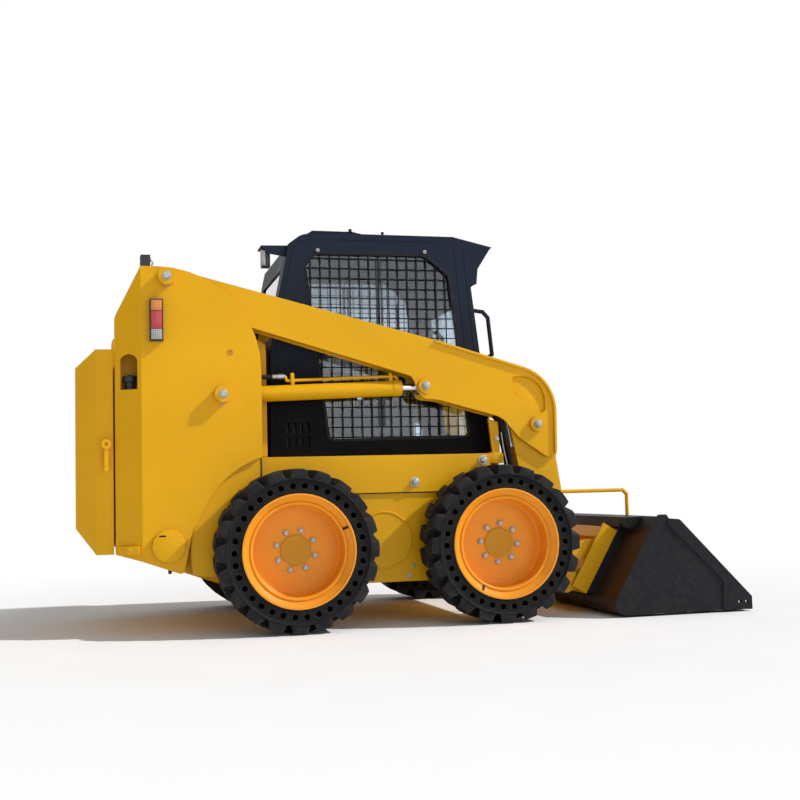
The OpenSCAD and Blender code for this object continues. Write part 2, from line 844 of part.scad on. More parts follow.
module arm() {
    difference() {
        union() {
            // Outer plate with its weight-saving opening
            difference() {
                slab(arm_out - plate_t, arm_out) polygon(arm_outline);
                slab(arm_out - plate_t - 1, arm_out + 1) polygon(opening_outline);
            }
            // Inner plate, in one with the inner leg plate
            slab(arm_in, arm_in + plate_t) union() {
                polygon(arm_outline);
                polygon(leg_outline);
            }
            // Outer leg plate, let in behind the arm's outer plate
            slab(leg_out - plate_t, leg_out) polygon(leg_outline);
            slab(leg_out, arm_out - plate_t) intersection() {
                polygon(leg_outline);
                polygon(arm_outline);
                translate([tilt_x - 150, tilt_z - 200]) square([300, 260]);
            }
            // Top and front strip
            slab(arm_in, arm_out) polygon(ribbon(reversed(bent(arm_top)), plate_t));
            slab(arm_out - plate_t, arm_out + arm_lip) polygon(ribbon(reversed(bent([
                [eye_x + 61, eye_z + 239, 0], [tilt_x + 113, tilt_z + 250, 240],
                [tilt_x + 106, tilt_z - 150, 0]
            ])), plate_t));
            // Lower strips, open where the lift cylinder's rod comes in
            slab(arm_in, arm_out) polygon(ribbon([
                [lift_x + 60, lift_z - 80], [lift_x + 422, lift_z - 237],
                [eye_x - 250, eye_z + 115]
            ], plate_t));
            slab(arm_in, arm_out) polygon(ribbon([
                [eye_x + 150, eye_z - 88], [tilt_x - 215, tilt_z + 50]
            ], plate_t));
            // Rear strip of the leg
            slab(arm_in, leg_out) polygon(ribbon([
                [tilt_x - 139, tilt_z - 2], [tilt_x - 101, tilt_z - 202],
                [tilt_x - 60, tilt_z - 400]
            ], plate_t));
            // Pivot tube
            across(pivot, pin_r + 25, arm_in, arm_out);
        }
        across(pivot, pin_r + pin_fit, arm_in - 1, arm_out + 1);
        across(eye_pin, eye_r + pin_fit, arm_in - 1, arm_out + 1);
        across(tilt_pin, eye_r + pin_fit, arm_in - 1, arm_out + 1);
        across(hinge, eye_r + pin_fit, arm_in - 1, leg_out + 1);
    }
}
eye_r = 25;

module arm_right() {
    color(yellow) placed() right_side() arm();
}

module arm_left() {
    color(yellow) placed() arm();
}

module arm_cross_tube() {
    color(yellow) placed() difference() {
        across(cross, cross_d / 2, -arm_in, arm_in);
        across(cross, cross_d / 2 - plate_t, -arm_in - 1, arm_in + 1);
    }
}
cross = [tilt_x + 56, tilt_z - 518];

// Pins carried by the arms: full pins at tilt cylinder and bucket hinge, and
// two short pins at the eye of the lift cylinder's rod
module arm_pins() {
    color(steel) placed() both_sides() {
        across(eye_pin, eye_r, arm_out - plate_t, arm_out);
        across(eye_pin, eye_r + 14, arm_out, arm_out + 22);
        across(eye_pin, eye_r, arm_in, arm_in + plate_t);
        across(tilt_pin, eye_r, arm_in, arm_out);
        across(tilt_pin, eye_r + 14, arm_out, arm_out + 22);
        across(hinge, eye_r, arm_in - 4, leg_out + 4);
    }
}

// Cylinders, drawn along x from their first pin and turned to the second

module between(a, b, y) {
    translate([a[0], y, a[1]])
        rotate([0, -atan2(b[1] - a[1], b[0] - a[0]), 0]) children();
}

module barrel(len, r, bore, eye, w, pin, gland) {
    difference() {
        union() {
            rotate([90, 0, 0]) cylinder(r = eye, h = w, center = true);
            rotate([0, 90, 0]) cylinder(r = r, h = len);
            translate([len - 46, 0, 0]) rotate([0, 90, 0]) cylinder(r = r + gland, h = 40);
        }
        rotate([90, 0, 0]) cylinder(r = pin + pin_fit, h = w + 2, center = true);
        translate([eye + 30, 0, 0]) rotate([0, 90, 0])
            cylinder(r = bore + pin_fit, h = len);
    }
}

module rod(start, len, r, eye, w, hole) {
    difference() {
        union() {
            translate([start, 0, 0]) rotate([0, 90, 0]) cylinder(r = r, h = len - start);
            translate([len, 0, 0]) rotate([90, 0, 0]) cylinder(r = eye, h = w, center = true);
        }
        translate([len, 0, 0]) rotate([90, 0, 0])
            cylinder(r = hole, h = w + 2, center = true);
    }
}

lift_barrel_len = lift_len - 112;
lift_eye_r = 46;
tilt_barrel_len = tilt_len - 126;
tilt_eye_r = 36;
tilt_base_r = 38;
// How far the tilt rods can go further in than at rest
tilt_room = 90;

module lift_barrel() {
    between(cyl_pin, eye_pin, arm_mid)
        barrel(lift_barrel_len, lift_barrel_d / 2, lift_rod_d / 2, 50, 100, pin_r, 3);
}

module lift_rod() {
    between(cyl_pin, eye_pin, arm_mid)
        rod(130, lift_len, lift_rod_d / 2, lift_eye_r,
            arm_out - arm_in - 2 * plate_t - 2 * eye_gap, eye_r);
}

module tilt_barrel() {
    between(tilt_pin, link_pin, leg_mid)
        barrel(tilt_barrel_len, tilt_barrel_d / 2, tilt_rod_d / 2, tilt_base_r, 60, eye_r, 2);
}

module tilt_rod() {
    between(tilt_pin, link_pin, leg_mid)
        rod(tilt_base_r + 30 + tilt_room, tilt_len, tilt_rod_d / 2, tilt_eye_r, 36, 20);
}

module lift_barrel_right() {
    color(yellow) placed() right_side() lift_barrel();
}

module lift_barrel_left() {
    color(yellow) placed() lift_barrel();
}

module lift_rod_right() {
    color(steel) placed() right_side() lift_rod();
}

module lift_rod_left() {
    color(steel) placed() lift_rod();
}

module tilt_barrel_right() {
    color(yellow) placed() right_side() tilt_barrel();
}

module tilt_barrel_left() {
    color(yellow) placed() tilt_barrel();
}

module tilt_rod_right() {
    color(steel) placed() right_side() tilt_rod();
}

module tilt_rod_left() {
    color(steel) placed() tilt_rod();
}

// Bucket and coupler

// The back leans forward from a round heel
heel = [hinge_x + 98, bucket_z, 60];
back_lean = 30.5;
function back_line(z) = heel[0] + (z - bucket_z) * tan(back_lean);
back_top = [back_line(bucket_high), bucket_high, 0];
bucket_path = bent([[front_reach - 60, bucket_z, 0], heel, back_top]);
bucket_outline = rounded([
    [front_reach, bucket_z, 0], heel, back_top,
    [back_top[0] + 14, bucket_high + 12, 6], [back_top[0] + 54, bucket_high + 12, 6],
    [back_top[0] + 68, bucket_high - 9, 0], [back_top[0] + 124, bucket_high - 14, 20],
    [front_reach, bucket_z + 66, 12]
]);
// Strip along the front edge of a side
cutter_outline = rounded([
    [front_reach, bucket_z, 0], [front_reach, bucket_z + 66, 12],
    [back_top[0] + 124, bucket_high - 14, 20], [back_top[0] + 68, bucket_high - 9, 0],
    [back_top[0] + 46, bucket_high - 28, 8], [front_reach - 196, bucket_z + 192, 40],
    [front_reach - 159, bucket_z + 144, 20], [front_reach - 167, bucket_z, 0]
]);
bucket_in = bucket_half - cutter_t - bucket_t;

module bucket_shell() {
    color([0.17, 0.18, 0.20]) placed() {
        slab(-bucket_in, bucket_in) polygon(ribbon(reversed(bucket_path), bucket_t));
        // Sides with their cutters
        both_sides() difference() {
            union() {
                slab(bucket_in, bucket_half - cutter_t) polygon(bucket_outline);
                slab(bucket_half - cutter_t, bucket_half) polygon(cutter_outline);
            }
            for (i = [0, 1])
                across([front_reach - 30 - i * cutter_pitch, bucket_z + 40],
                    cutter_hole_d / 2, bucket_in - 1, bucket_half + 1);
        }
        // Stiffening rail along the top of the back
        slab(-bucket_in, bucket_in) polygon([
            [back_top[0], bucket_high], [back_top[0] + 70, bucket_high],
            [back_top[0] + 60, bucket_high - 40], [back_top[0] - 15, bucket_high - 40]
        ]);
        // Hook rail with notches for the coupler's levers
        difference() {
            slab(-hook_half, hook_half) polygon([
                [back_top[0] + 6, bucket_high], [back_top[0] - 84, bucket_high - 2],
                [back_top[0] - 96, bucket_high - 52], [back_top[0] - 84, bucket_high - 60],
                [back_line(bucket_high - 62) + 6, bucket_high - 62]
            ]);
            for (y = [-640, -419, 419, 640])
                translate([back_top[0] - 120, y, bucket_high - 62]) rotate([0, 90, 0])
                    cylinder(r = 26, h = 100);
        }
        // Mounting frame that the coupler lies against
        for (z = [hinge_z - 62, bucket_high - 100])
            slab(-coupler_half, coupler_half) polygon(mount_strip(z, z + 40));
        both_sides() slab(coupler_half - 90, coupler_half)
            polygon(mount_strip(hinge_z - 62, bucket_high - 60));
    }
}
hook_half = 690;
function mount_strip(z0, z1) = [
    [back_line(z0) + 6, z0], [back_line(z1) + 6, z1],
    [back_line(z1) - mount_d, z1], [back_line(z0) - mount_d, z0]
];

module cutting_edges() {
    color([0.25, 0.26, 0.28]) placed() {
        // Edge along the lip
        slab(-bucket_in, bucket_in) polygon([
            [front_reach - 60, bucket_z], [front_reach - 10, bucket_z],
            [front_reach, bucket_z + 6], [front_reach - 60, bucket_z + edge_t]
        ]);
    }
}

// Coupler frame behind the bucket, one with its ears
module coupler() {
    color(yellow) placed() {
        slab(-coupler_half, coupler_half) polygon(ribbon([
            back_at(hinge_z - 62), back_at(hinge_z + 260)
        ], 16));
        for (z = [hinge_z - 62, hinge_z + 205])
            slab(-coupler_half, coupler_half) polygon(ribbon([
                back_at(z), back_at(z + 55)
            ], 46));
        both_sides() {
            // End plate, outside the arm's leg
            slab(coupler_half - 14, coupler_half) polygon(ribbon([
                back_at(hinge_z - 62), back_at(hinge_z + 260)
            ], 88));
            difference() {
                // Ears
                union() {
                    slab(leg_mid - 28, leg_mid + 28) polygon(lower_ear);
                    slab(leg_mid + 22, leg_mid + 31) polygon(upper_ear);
                    slab(leg_mid - 31, leg_mid - 22) polygon(upper_ear);
                }
                across(hinge, eye_r + pin_fit, arm_in, leg_out);
            }
        }
    }
}
function back_at(z) = [back_line(z) - mount_d - pin_fit, z];
lower_ear = rounded([
    [hinge_x - 42, hinge_z - 30, 30], [hinge_x + 20, hinge_z - 46, 30],
    sharp(back_at(hinge_z - 40)), sharp(back_at(hinge_z + 90)),
    [hinge_x - 20, hinge_z + 46, 40]
]);
upper_ear = rounded([
    [link_pin[0] - 40, link_pin[1] - 40, 30], sharp(back_at(link_pin[1] - 60)),
    sharp(back_at(link_pin[1] + 60)), [link_pin[0] - 40, link_pin[1] + 40, 30]
]);

// Rod on the bucket's top edge that shows how level it lies
rod_x = back_top[0] + 36;
rod_y = -arm_in + 25;
rod_z = bucket_high + 140;

module level_rod() {
    color(yellow) placed() bar([
        [hinge_x + 25, rod_y, rod_z], [rod_x - 22, rod_y, rod_z],
        [rod_x, rod_y, rod_z - 22], [rod_x, rod_y, bucket_high + pin_fit]
    ], 10);
}

// Wheels

module tyre() {
    rotate_extrude($fn = 96) polygon([
        [seat_r + pin_fit, rim_t + 3], [rim_d / 2 + 1, rim_t + 3], [rim_d / 2 + 1, 4],
        [rim_d / 2 + 12, 0], [tyre_r - lug_h - 4, 0], [tyre_r - lug_h, 4],
        [tyre_r - lug_h, tyre_w - 4], [tyre_r - lug_h - 4, tyre_w],
        [rim_d / 2 + 12, tyre_w], [rim_d / 2 + 1, tyre_w - 4],
        [rim_d / 2 + 1, tyre_w - rim_t - 3], [seat_r + pin_fit, tyre_w - rim_t - 3]
    ]);
    // Two rows of lugs, half a pitch apart
    lug_row();
    translate([0, 0, tyre_w]) mirror([0, 0, 1]) rotate(180 / lug_count) lug_row();
}

// A row of lugs from the outer side to the middle, one of them at the bottom
module lug_row() {
    translate([0, 0, 2]) linear_extrude(tyre_w / 2 - 4) difference() {
        polygon([for (i = [0 : lug_count - 1], k = [-1, 1], j = [0, 1])
            let (
                foot = (k < 0) == (j == 0),
                a = (i + k * (foot ? 0.45 : 0.28)) * 360 / lug_count - 90,
                r = foot ? tyre_r - lug_h - 2 : tyre_r / cos(100.8 / lug_count)
            )
            r * [cos(a), sin(a)]
        ]);
        circle(r = tyre_r - lug_h - 6);
    }
}

// Rim with its disc, hub and axle shaft
module rim() {
    rotate_extrude($fn = 96) polygon([
        [rim_d / 2, 2], [rim_d / 2, 2 + rim_t], [seat_r, 2 + rim_t],
        [seat_r, tyre_w - 2 - rim_t], [rim_d / 2, tyre_w - 2 - rim_t],
        [rim_d / 2, tyre_w - 2], [seat_r - rim_t, tyre_w - 2],
        [seat_r - rim_t, 46], [dish_r + rim_t, 54],
        [dish_r + rim_t, disc_depth + rim_t], [shaft_d / 2 + 66, disc_depth + rim_t],
        [shaft_d / 2 + 66, disc_depth + rim_t + 36], [shaft_d / 2, disc_depth + rim_t + 36],
        [shaft_d / 2, tyre_out - housing_end + 60], [0, tyre_out - housing_end + 60],
        [0, disc_depth - hub_h], [hub_d / 2, disc_depth - hub_h], [hub_d / 2, disc_depth],
        [dish_r - 14, disc_depth], [dish_r, disc_depth - 14], [dish_r, 40],
        [dish_r + 4, 33], [dish_r + 10, 32], [dish_r + 13, 35],
        [rim_d / 2 - 12, 8], [rim_d / 2 - 9, 2]
    ]);
}

// Turns a wheel piece from its own axis to the left side, outer face outward
module at_axle(x) {
    translate([x, tyre_out, tyre_r]) rotate([90, 0, 0]) children();
}

module tyre_front_right() {
    color(rubber) placed() right_side() at_axle(axle_f) tyre();
}

module tyre_front_left() {
    color(rubber) placed() at_axle(axle_f) tyre();
}

module tyre_rear_right() {
    color(rubber) placed() right_side() at_axle(axle_r) tyre();
}

module tyre_rear_left() {
    color(rubber) placed() at_axle(axle_r) tyre();
}

module rim_front_right() {
    color(orange) placed() right_side() at_axle(axle_f) rim();
}

module rim_front_left() {
    color(orange) placed() at_axle(axle_f) rim();
}

module rim_rear_right() {
    color(orange) placed() right_side() at_axle(axle_r) rim();
}

module rim_rear_left() {
    color(orange) placed() at_axle(axle_r) rim();
}

chassis_frame();
axle_housings();
frame_covers();
tower_right();
tower_left();
tower_pins();
engine_block();
engine_hood();
lamps();
cab_side_right();
cab_side_left();
cab_roof();
cab_rear_wall();
cab_floor();
cab_glass();
cab_screens();
seat_base();
seat();
control_levers();
cab_door();
cab_door_glass();
rear_door();
rear_door_latch();
arm_right();
arm_left();
arm_cross_tube();
arm_pins();
lift_barrel_right();
lift_barrel_left();
lift_rod_right();
lift_rod_left();
tilt_barrel_right();
tilt_barrel_left();
tilt_rod_right();
tilt_rod_left();
coupler();
level_rod();
bucket_shell();
cutting_edges();
tyre_front_right();
tyre_front_left();
tyre_rear_right();
tyre_rear_left();
rim_front_right();
rim_front_left();
rim_rear_right();
rim_rear_left();
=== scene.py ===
import json
import math

import bmesh
import bpy
import numpy as np
from mathutils import Matrix, Vector


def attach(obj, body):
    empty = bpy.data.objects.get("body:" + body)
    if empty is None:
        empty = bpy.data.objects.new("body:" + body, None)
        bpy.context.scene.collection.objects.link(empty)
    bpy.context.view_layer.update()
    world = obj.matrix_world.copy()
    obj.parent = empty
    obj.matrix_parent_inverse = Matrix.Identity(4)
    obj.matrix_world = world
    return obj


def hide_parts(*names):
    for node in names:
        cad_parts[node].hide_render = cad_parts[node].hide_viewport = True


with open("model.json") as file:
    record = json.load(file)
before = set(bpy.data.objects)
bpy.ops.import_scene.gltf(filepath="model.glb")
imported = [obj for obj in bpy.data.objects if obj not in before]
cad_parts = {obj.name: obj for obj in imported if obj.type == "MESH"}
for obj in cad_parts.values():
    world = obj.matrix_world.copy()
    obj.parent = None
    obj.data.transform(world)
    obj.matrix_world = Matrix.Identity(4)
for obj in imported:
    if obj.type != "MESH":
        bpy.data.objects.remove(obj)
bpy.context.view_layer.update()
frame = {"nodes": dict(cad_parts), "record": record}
nodes = frame["nodes"]

# Sizes are in millimetres from the middle between the axles, as in the CAD source.
SIDES = (("right", -1), ("left", 1))
MID_X = -145.5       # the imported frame's shift along x
AXLE = 520.0         # from the middle to each axle
TYRE_R, TYRE_W = 393.5, 240.0
TYRE_OUT = 835.0     # outer face of the tyres
LUG_H = 45.0
DISC = 138.0         # depth of the rim's disc in from the tyre's face
# Pins as x and z: the arm's pivot, the lift cylinder's base and eye, the tilt cylinder's base
PIVOT, CYL, EYE, TILT = (-1117, 1734), (-852, 1160), (185, 1200), (789, 998)
# Outer faces, from the middle plane
TOWER_OUT, ARM_OUT, RAIL_OUT, CASE_OUT, CAB_HALF = 612, 592, 560, 546, 440
TOWER_BOSS, ARM_BOSS = 48, 22     # how far the pin heads stand out
LIFT_Y = 531         # plane of the pipes on the lift cylinders
CAB_REAR, CAB_FRONT = -594, 598
RAIL_TOP, EAVES = 850, 1955


def P(x, y, z):
    """A point in the frame's metres."""
    return Vector((x + MID_X, y, z)) / 1000


# Camera at the photograph's view: focal length and width in pixels, turns in radians

FOCAL, WIDTH, SENSOR = 1170.96, 800, 36
YAW, PITCH, ROLL = 0.256999, 0.0740964, -0.0252505
CAMERA_AT = (-1464.772, -6357.626, 686.533)


def make_camera():
    data = bpy.data.cameras.new("camera")
    data.sensor_width = SENSOR
    data.lens = FOCAL / WIDTH * SENSOR
    obj = bpy.data.objects.new("camera", data)
    bpy.context.scene.collection.objects.link(obj)
    ahead = Vector((math.sin(YAW) * math.cos(PITCH), math.cos(YAW) * math.cos(PITCH), math.sin(PITCH)))
    level = ahead.cross(Vector((0, 0, 1))).normalized()
    over = level.cross(ahead)
    right = level * math.cos(ROLL) + over * math.sin(ROLL)
    top = over * math.cos(ROLL) - level * math.sin(ROLL)
    turn = Matrix((right, top, -ahead)).transposed().to_4x4()
    turn.translation = P(*CAMERA_AT)
    obj.matrix_world = turn
    bpy.context.scene.camera = obj


make_camera()


# Materials

def srgb(*c):
    """Linear colour from 0 to 255 values."""
    return tuple(((v / 255 + 0.055) / 1.055) ** 2.4 if v > 10 else v / 255 / 12.92 for v in c)


class Nodes:
    """A material's node tree with short ways to add to it."""

    def __init__(self, name):
        self.mat = bpy.data.materials.new(name)
        self.mat.use_nodes = True
        self.tree = self.mat.node_tree
        self.bsdf = self.tree.nodes["Principled BSDF"]
        self.pos = self.add("ShaderNodeTexCoord").outputs["Object"]

    def add(self, kind, values=(), **props):
        n = self.tree.nodes.new(kind)
        for k, v in props.items():
            setattr(n, k, v)
        for k, v in dict(values).items():
            self.put(n.inputs[k], v)
        return n

    def put(self, socket, v):
        if isinstance(v, bpy.types.NodeSocket):
            self.tree.links.new(v, socket)
        elif isinstance(v, tuple) and len(v) == 3 and socket.type == "RGBA":
            socket.default_value = (*v, 1)
        else:
            socket.default_value = v

    def set(self, **values):
        for k, v in values.items():
            self.put(self.bsdf.inputs[k.replace("_", " ")], v)

    def noise(self, scale, detail=4.0, rough=0.55, pos=None):
        return self.add("ShaderNodeTexNoise", {"Vector": pos or self.pos, "Scale": scale,
                                               "Detail": detail, "Roughness": rough}).outputs["Fac"]

    def ramp(self, v, lo, hi, a=0.0, b=1.0):
        return self.add("ShaderNodeMapRange", {"Value": v, "From Min": lo, "From Max": hi,
                                               "To Min": a, "To Max": b}).outputs["Result"]

    def vary(self, scale, detail=4.0, lo=0.0, hi=1.0):
        """Noise spread over the range lo to hi."""
        return self.ramp(self.noise(scale, detail), 0.3, 0.7, lo, hi)

    def mottle(self, colour, scale, detail, lo, hi):
        """A colour that drifts between two shades of itself."""
        return self.mix(self.vary(scale, detail), tint(colour, lo), tint(colour, hi))

    def part(self, vector, axis):
        return self.add("ShaderNodeSeparateXYZ", {0: vector}).outputs[axis]

    def times(self, a, b):
        return self.add("ShaderNodeMath", {0: a, 1: b}, operation="MULTIPLY").outputs[0]

    def mix(self, fac, a, b):
        n = self.add("ShaderNodeMix", data_type="RGBA")
        for socket, v in ((n.inputs[0], fac), (n.inputs[6], a), (n.inputs[7], b)):
            self.put(socket, v)
        return n.outputs[2]

    def bump(self, height, strength, distance, normal=None):
        values = {"Height": height, "Strength": strength, "Distance": distance}
        if normal is not None:
            values["Normal"] = normal
        return self.add("ShaderNodeBump", values).outputs["Normal"]

    def edge(self, radius):
        """The normal rounded at edges, and 0 to 1 for how near an edge is."""
        soft = self.add("ShaderNodeBevel", {"Radius": radius}, samples=4).outputs["Normal"]
        plain = self.add("ShaderNodeNewGeometry").outputs["Normal"]
        dot = self.add("ShaderNodeVectorMath", {0: soft, 1: plain}, operation="DOT_PRODUCT")
        return soft, self.ramp(dot.outputs["Value"], 0.99, 0.72)


def tint(c, k):
    return tuple(min(1.0, v * k) for v in c)


DUST = srgb(150, 134, 112)
BARE_STEEL = srgb(176, 172, 168)
PALE_RUBBER = srgb(164, 156, 146)
# Heights in metres over which dust, the painted shade below the arms, the painted reflection on faces that
# look back and scrapes come in
DUST_BAND, PAINTED_SHADE_BAND, PAINTED_REFLECTION_BAND, SCRAPE_BAND = (0.85, 0.05), (1.42, 1.18), (0.47, 0.41), (0.014, 0.005)


def paint(name, colour, rough=0.36, coat=0.08, drift=0.05, dust=0.16, wear=None, peel=0.05, edge=0.003,
          shine=0.25, painted_shade=None, painted_reflection_and_scrapes=None):
    """Sprayed paint: slow drift of the colour, orange peel, dust low down, worn edges.

    The painted shade colour darkens the paint below the arms, where their shadow falls. The painted
    reflection colour is a warm bounce of light from the yellow machine on faces that look back,
    and comes with bare scrapes where the piece meets the ground.
    """
    m = Nodes(name)
    soft, near = m.edge(edge)
    body = m.mottle(colour, 1.9, 3, 1 - drift, 1 + drift)
    height = m.part(m.pos, "Z")
    low = m.ramp(height, *DUST_BAND, 0.12, 1.0)
    # Painted shade: the paint turns darker below the arms, where their shadow falls
    if painted_shade:
        body = m.mix(m.ramp(height, *PAINTED_SHADE_BAND), body, painted_shade)
    if painted_reflection_and_scrapes:
        # Painted reflection: a warm brown on faces that look back, standing in for light bounced from the
        # yellow machine, strongest low down and towards the sides
        facing = m.part(m.add("ShaderNodeTexCoord").outputs["Normal"], "X")
        reflection_mask = m.times(m.ramp(facing, -0.45, -0.8), m.ramp(m.noise(2.4, 4), 0.3, 0.65, 0.4, 1.0))
        across = m.add("ShaderNodeMath", {0: m.part(m.pos, "Y")}, operation="ABSOLUTE").outputs[0]
        reflection_mask = m.times(m.times(reflection_mask, m.ramp(across, 0.55, 0.8, 0.3, 1.0)), m.ramp(height, *PAINTED_REFLECTION_BAND))
        body = m.mix(reflection_mask, body, painted_reflection_and_scrapes)
    speck = m.ramp(m.noise(34, 9, 0.7), 0.46, 0.78)
    body = m.mix(m.times(m.times(speck, low), dust), body, DUST)
    worn = m.times(near, m.ramp(m.noise(46, 5, 0.7), 0.4, 0.62, 0.05, 0.7))
    body = m.mix(worn, body, wear or tint(colour, 1.45))
    if painted_reflection_and_scrapes:
        scrape = m.times(m.ramp(height, *SCRAPE_BAND), m.ramp(m.noise(13, 7, 0.7), 0.52, 0.6))
        body = m.mix(scrape, body, BARE_STEEL)
    m.set(Base_Color=body, Roughness=m.vary(9, 6, rough - 0.05, rough + 0.09),
          Coat_Weight=coat, Coat_Roughness=0.16, Specular_IOR_Level=shine,
          Normal=m.bump(m.noise(260, 2), peel, 0.0006, soft))
    return m.mat


def metal(name, colour, lo, hi, streak=(1, 1, 1), scale=60, bump=0.05):
    """Bare metal whose roughness runs from lo to hi in grains drawn out by streak."""
    m = Nodes(name)
    soft, _ = m.edge(0.0012)
    pos = m.add("ShaderNodeMapping", {"Vector": m.pos, "Scale": streak}).outputs[0]
    grain = m.noise(scale, 8, 0.65, pos)
    m.set(Base_Color=m.mottle(colour, 14, 4, 0.82, 1.0), Metallic=1.0,
          Roughness=m.ramp(grain, 0.3, 0.7, lo, hi), Normal=m.bump(grain, bump, 0.0004, soft))
    return m.mat


def rubber(name, colour, dust=0.3, grain=500, rough=0.68, shine=0.15, edge=0.002, worn=0.75):
    """Dusty rubber with pale, scuffed edges."""
    m = Nodes(name)
    soft, near = m.edge(edge)
    speck = m.ramp(m.noise(16, 9, 0.72), 0.45, 0.75)
    body = m.mottle(colour, 6, 4, 0.75, 1.3)
    body = m.mix(m.times(speck, dust), body, DUST)
    body = m.mix(m.times(near, m.ramp(m.noise(30, 6, 0.7), 0.42, 0.6, 0.0, worn)), body, PALE_RUBBER)
    m.set(Base_Color=body, Roughness=m.ramp(speck, 0, 1, rough, rough + 0.2), Specular_IOR_Level=shine,
          Normal=m.bump(m.noise(grain, 4, 0.7), 0.16, 0.0008, soft))
    return m.mat


def plastic(name, colour, rough=0.5, grain=700, depth=0.12):
    """Grained moulding with paler edges."""
    m = Nodes(name)
    soft, near = m.edge(0.0015)
    body = m.mottle(colour, 11, 6, 0.8, 1.25)
    body = m.mix(m.times(near, 0.25), body, tint(colour, 2.2))
    m.set(Base_Color=body, Roughness=m.vary(25, 5, rough - 0.06, rough + 0.1),
          Normal=m.bump(m.noise(grain, 3), depth, 0.0005, soft))
    return m.mat


def vinyl(name, colour):
    """Seat cover with a leather grain."""
    m = Nodes(name)
    cells = m.add("ShaderNodeTexVoronoi", {"Vector": m.pos, "Scale": 420.0}).outputs["Distance"]
    m.set(Base_Color=m.mottle(colour, 9, 6, 0.75, 1.35), Roughness=m.vary(18, 5, 0.42, 0.58),
          Normal=m.bump(cells, 0.25, 0.0008), Sheen_Weight=0.05)
    return m.mat


def lens(name, colour, clear=0.35):
    """Moulded lamp lens with a prism grid inside."""
    m = Nodes(name)
    wave = [m.add("ShaderNodeTexWave", {"Vector": m.pos, "Scale": 30.0}, bands_direction=d).outputs["Fac"]
            for d in ("X", "Z")]
    grid = m.times(*wave)
    body = m.mix(m.ramp(grid, 0.0, 0.8), tint(colour, 0.6), tint(colour, 1.1))
    m.set(Base_Color=body, Roughness=m.vary(40, 4.0, 0.08, 0.2), Coat_Weight=0.6,
          Coat_Roughness=0.04, Transmission_Weight=clear, Normal=m.bump(grid, 0.5, 0.002))
    return m.mat


def window(name, colour):
    """Clear glass, darker towards the top as painted shade, with faint dust; shadow rays pass straight
    through.
    """
    m = Nodes(name)
    haze = m.ramp(m.noise(5, 7, 0.65), 0.42, 0.8)
    # Painted shade: the pane darkens towards the top, where the cab's inside lies under the roof
    pane_with_painted_shade = m.mix(m.ramp(m.part(m.pos, "Z"), 1.5, 1.82), colour, tint(colour, 0.52))
    m.set(Base_Color=m.mix(m.times(haze, 0.15), pane_with_painted_shade, srgb(190, 186, 176)), Transmission_Weight=1.0,
          IOR=1.12, Roughness=m.ramp(haze, 0, 1, 0.0, 0.04), Normal=m.bump(m.noise(3, 2), 0.02, 0.001),
          Coat_Weight=1.0, Coat_Roughness=0.01)
    path = m.add("ShaderNodeLightPath")
    clear = m.add("ShaderNodeBsdfTransparent", {"Color": tint(colour, 0.95)})
    blend = m.add("ShaderNodeMixShader", {0: path.outputs["Is Shadow Ray"], 1: m.bsdf.outputs[0],
                                          2: clear.outputs[0]})
    m.tree.links.new(blend.outputs[0], m.tree.nodes["Material Output"].inputs["Surface"])
    return m.mat


MAT = {
    "body_yellow": paint("body_yellow", srgb(229, 169, 8), coat=0.04, shine=0.15, wear=srgb(240, 196, 84)),
    "rim_orange": paint("rim_orange", srgb(236, 151, 28), rough=0.4, coat=0.1, drift=0.08, dust=0.2,
                        wear=srgb(250, 198, 104)),
    "hub_yellow": paint("hub_yellow", srgb(196, 138, 18), rough=0.45, coat=0.05, drift=0.08, dust=0.2),
    # The cab goes darker below the arms: painted shade of the arms' shadow
    "cab_black": paint("cab_black", srgb(33, 40, 54), rough=0.45, coat=0.0, drift=0.12, dust=0.03,
                       wear=srgb(74, 82, 94), shine=0.06, painted_shade=srgb(11, 11, 12)),
    # The bucket's warm brown on faces that look back is a painted reflection of the yellow machine
    "bucket_black": paint("bucket_black", srgb(31, 32, 36), rough=0.46, coat=0.0, drift=0.14, dust=0.06,
                          wear=srgb(78, 78, 80), peel=0.1, shine=0.1, painted_reflection_and_scrapes=srgb(74, 40, 18)),
    "edge_steel": paint("edge_steel", srgb(40, 40, 43), rough=0.45, coat=0.0, drift=0.15, dust=0.25,
                        wear=srgb(120, 120, 122), peel=0.1),
    "engine_iron": metal("engine_iron", srgb(95, 96, 98), 0.55, 0.75, scale=90, bump=0.3),
    "chrome_rod": metal("chrome_rod", srgb(225, 226, 230), 0.06, 0.14, (1, 30, 30), 30, 0.01),
    "pin_steel": metal("pin_steel", srgb(196, 196, 194), 0.28, 0.45),
    "zinc": metal("zinc", srgb(172, 173, 170), 0.32, 0.5, scale=140),
    "tyre_rubber": rubber("tyre_rubber", srgb(28, 29, 33), dust=0.1, edge=0.0035, worn=0.95),
    "wall_rubber": rubber("wall_rubber", srgb(17, 17, 20), dust=0.05),
    "hose_rubber": rubber("hose_rubber", srgb(42, 31, 36), dust=0.08, grain=900, rough=0.5),
    "seal_rubber": rubber("seal_rubber", srgb(20, 21, 23), dust=0.05, rough=0.55),
    "trim_plastic": plastic("trim_plastic", srgb(26, 27, 29)),
    "frame_grey": plastic("frame_grey", srgb(66, 72, 78)),
    "seat_vinyl": vinyl("seat_vinyl", srgb(30, 30, 32)),
    "window_glass": window("window_glass", (0.71, 0.80, 0.87)),
    "lens_amber": lens("lens_amber", srgb(250, 142, 8), clear=0.08),
    "lens_red": lens("lens_red", srgb(212, 22, 38), clear=0.08),
    "lens_clear": lens("lens_clear", srgb(214, 208, 208)),
}
# The part's slot for each material that is not one itself, and nodes that look unlike their slot
NODE_MAT = {"lamps": "trim_plastic", "arm_pins": "body_yellow"}
for row in frame["record"]["subparts"]:
    data = nodes[row["node"]].data
    chosen = MAT[NODE_MAT.get(row["node"], row["material_slot"])]
    data.materials.clear()
    data.materials.append(chosen)


# Shapes, each a pair of points in millimetres and faces

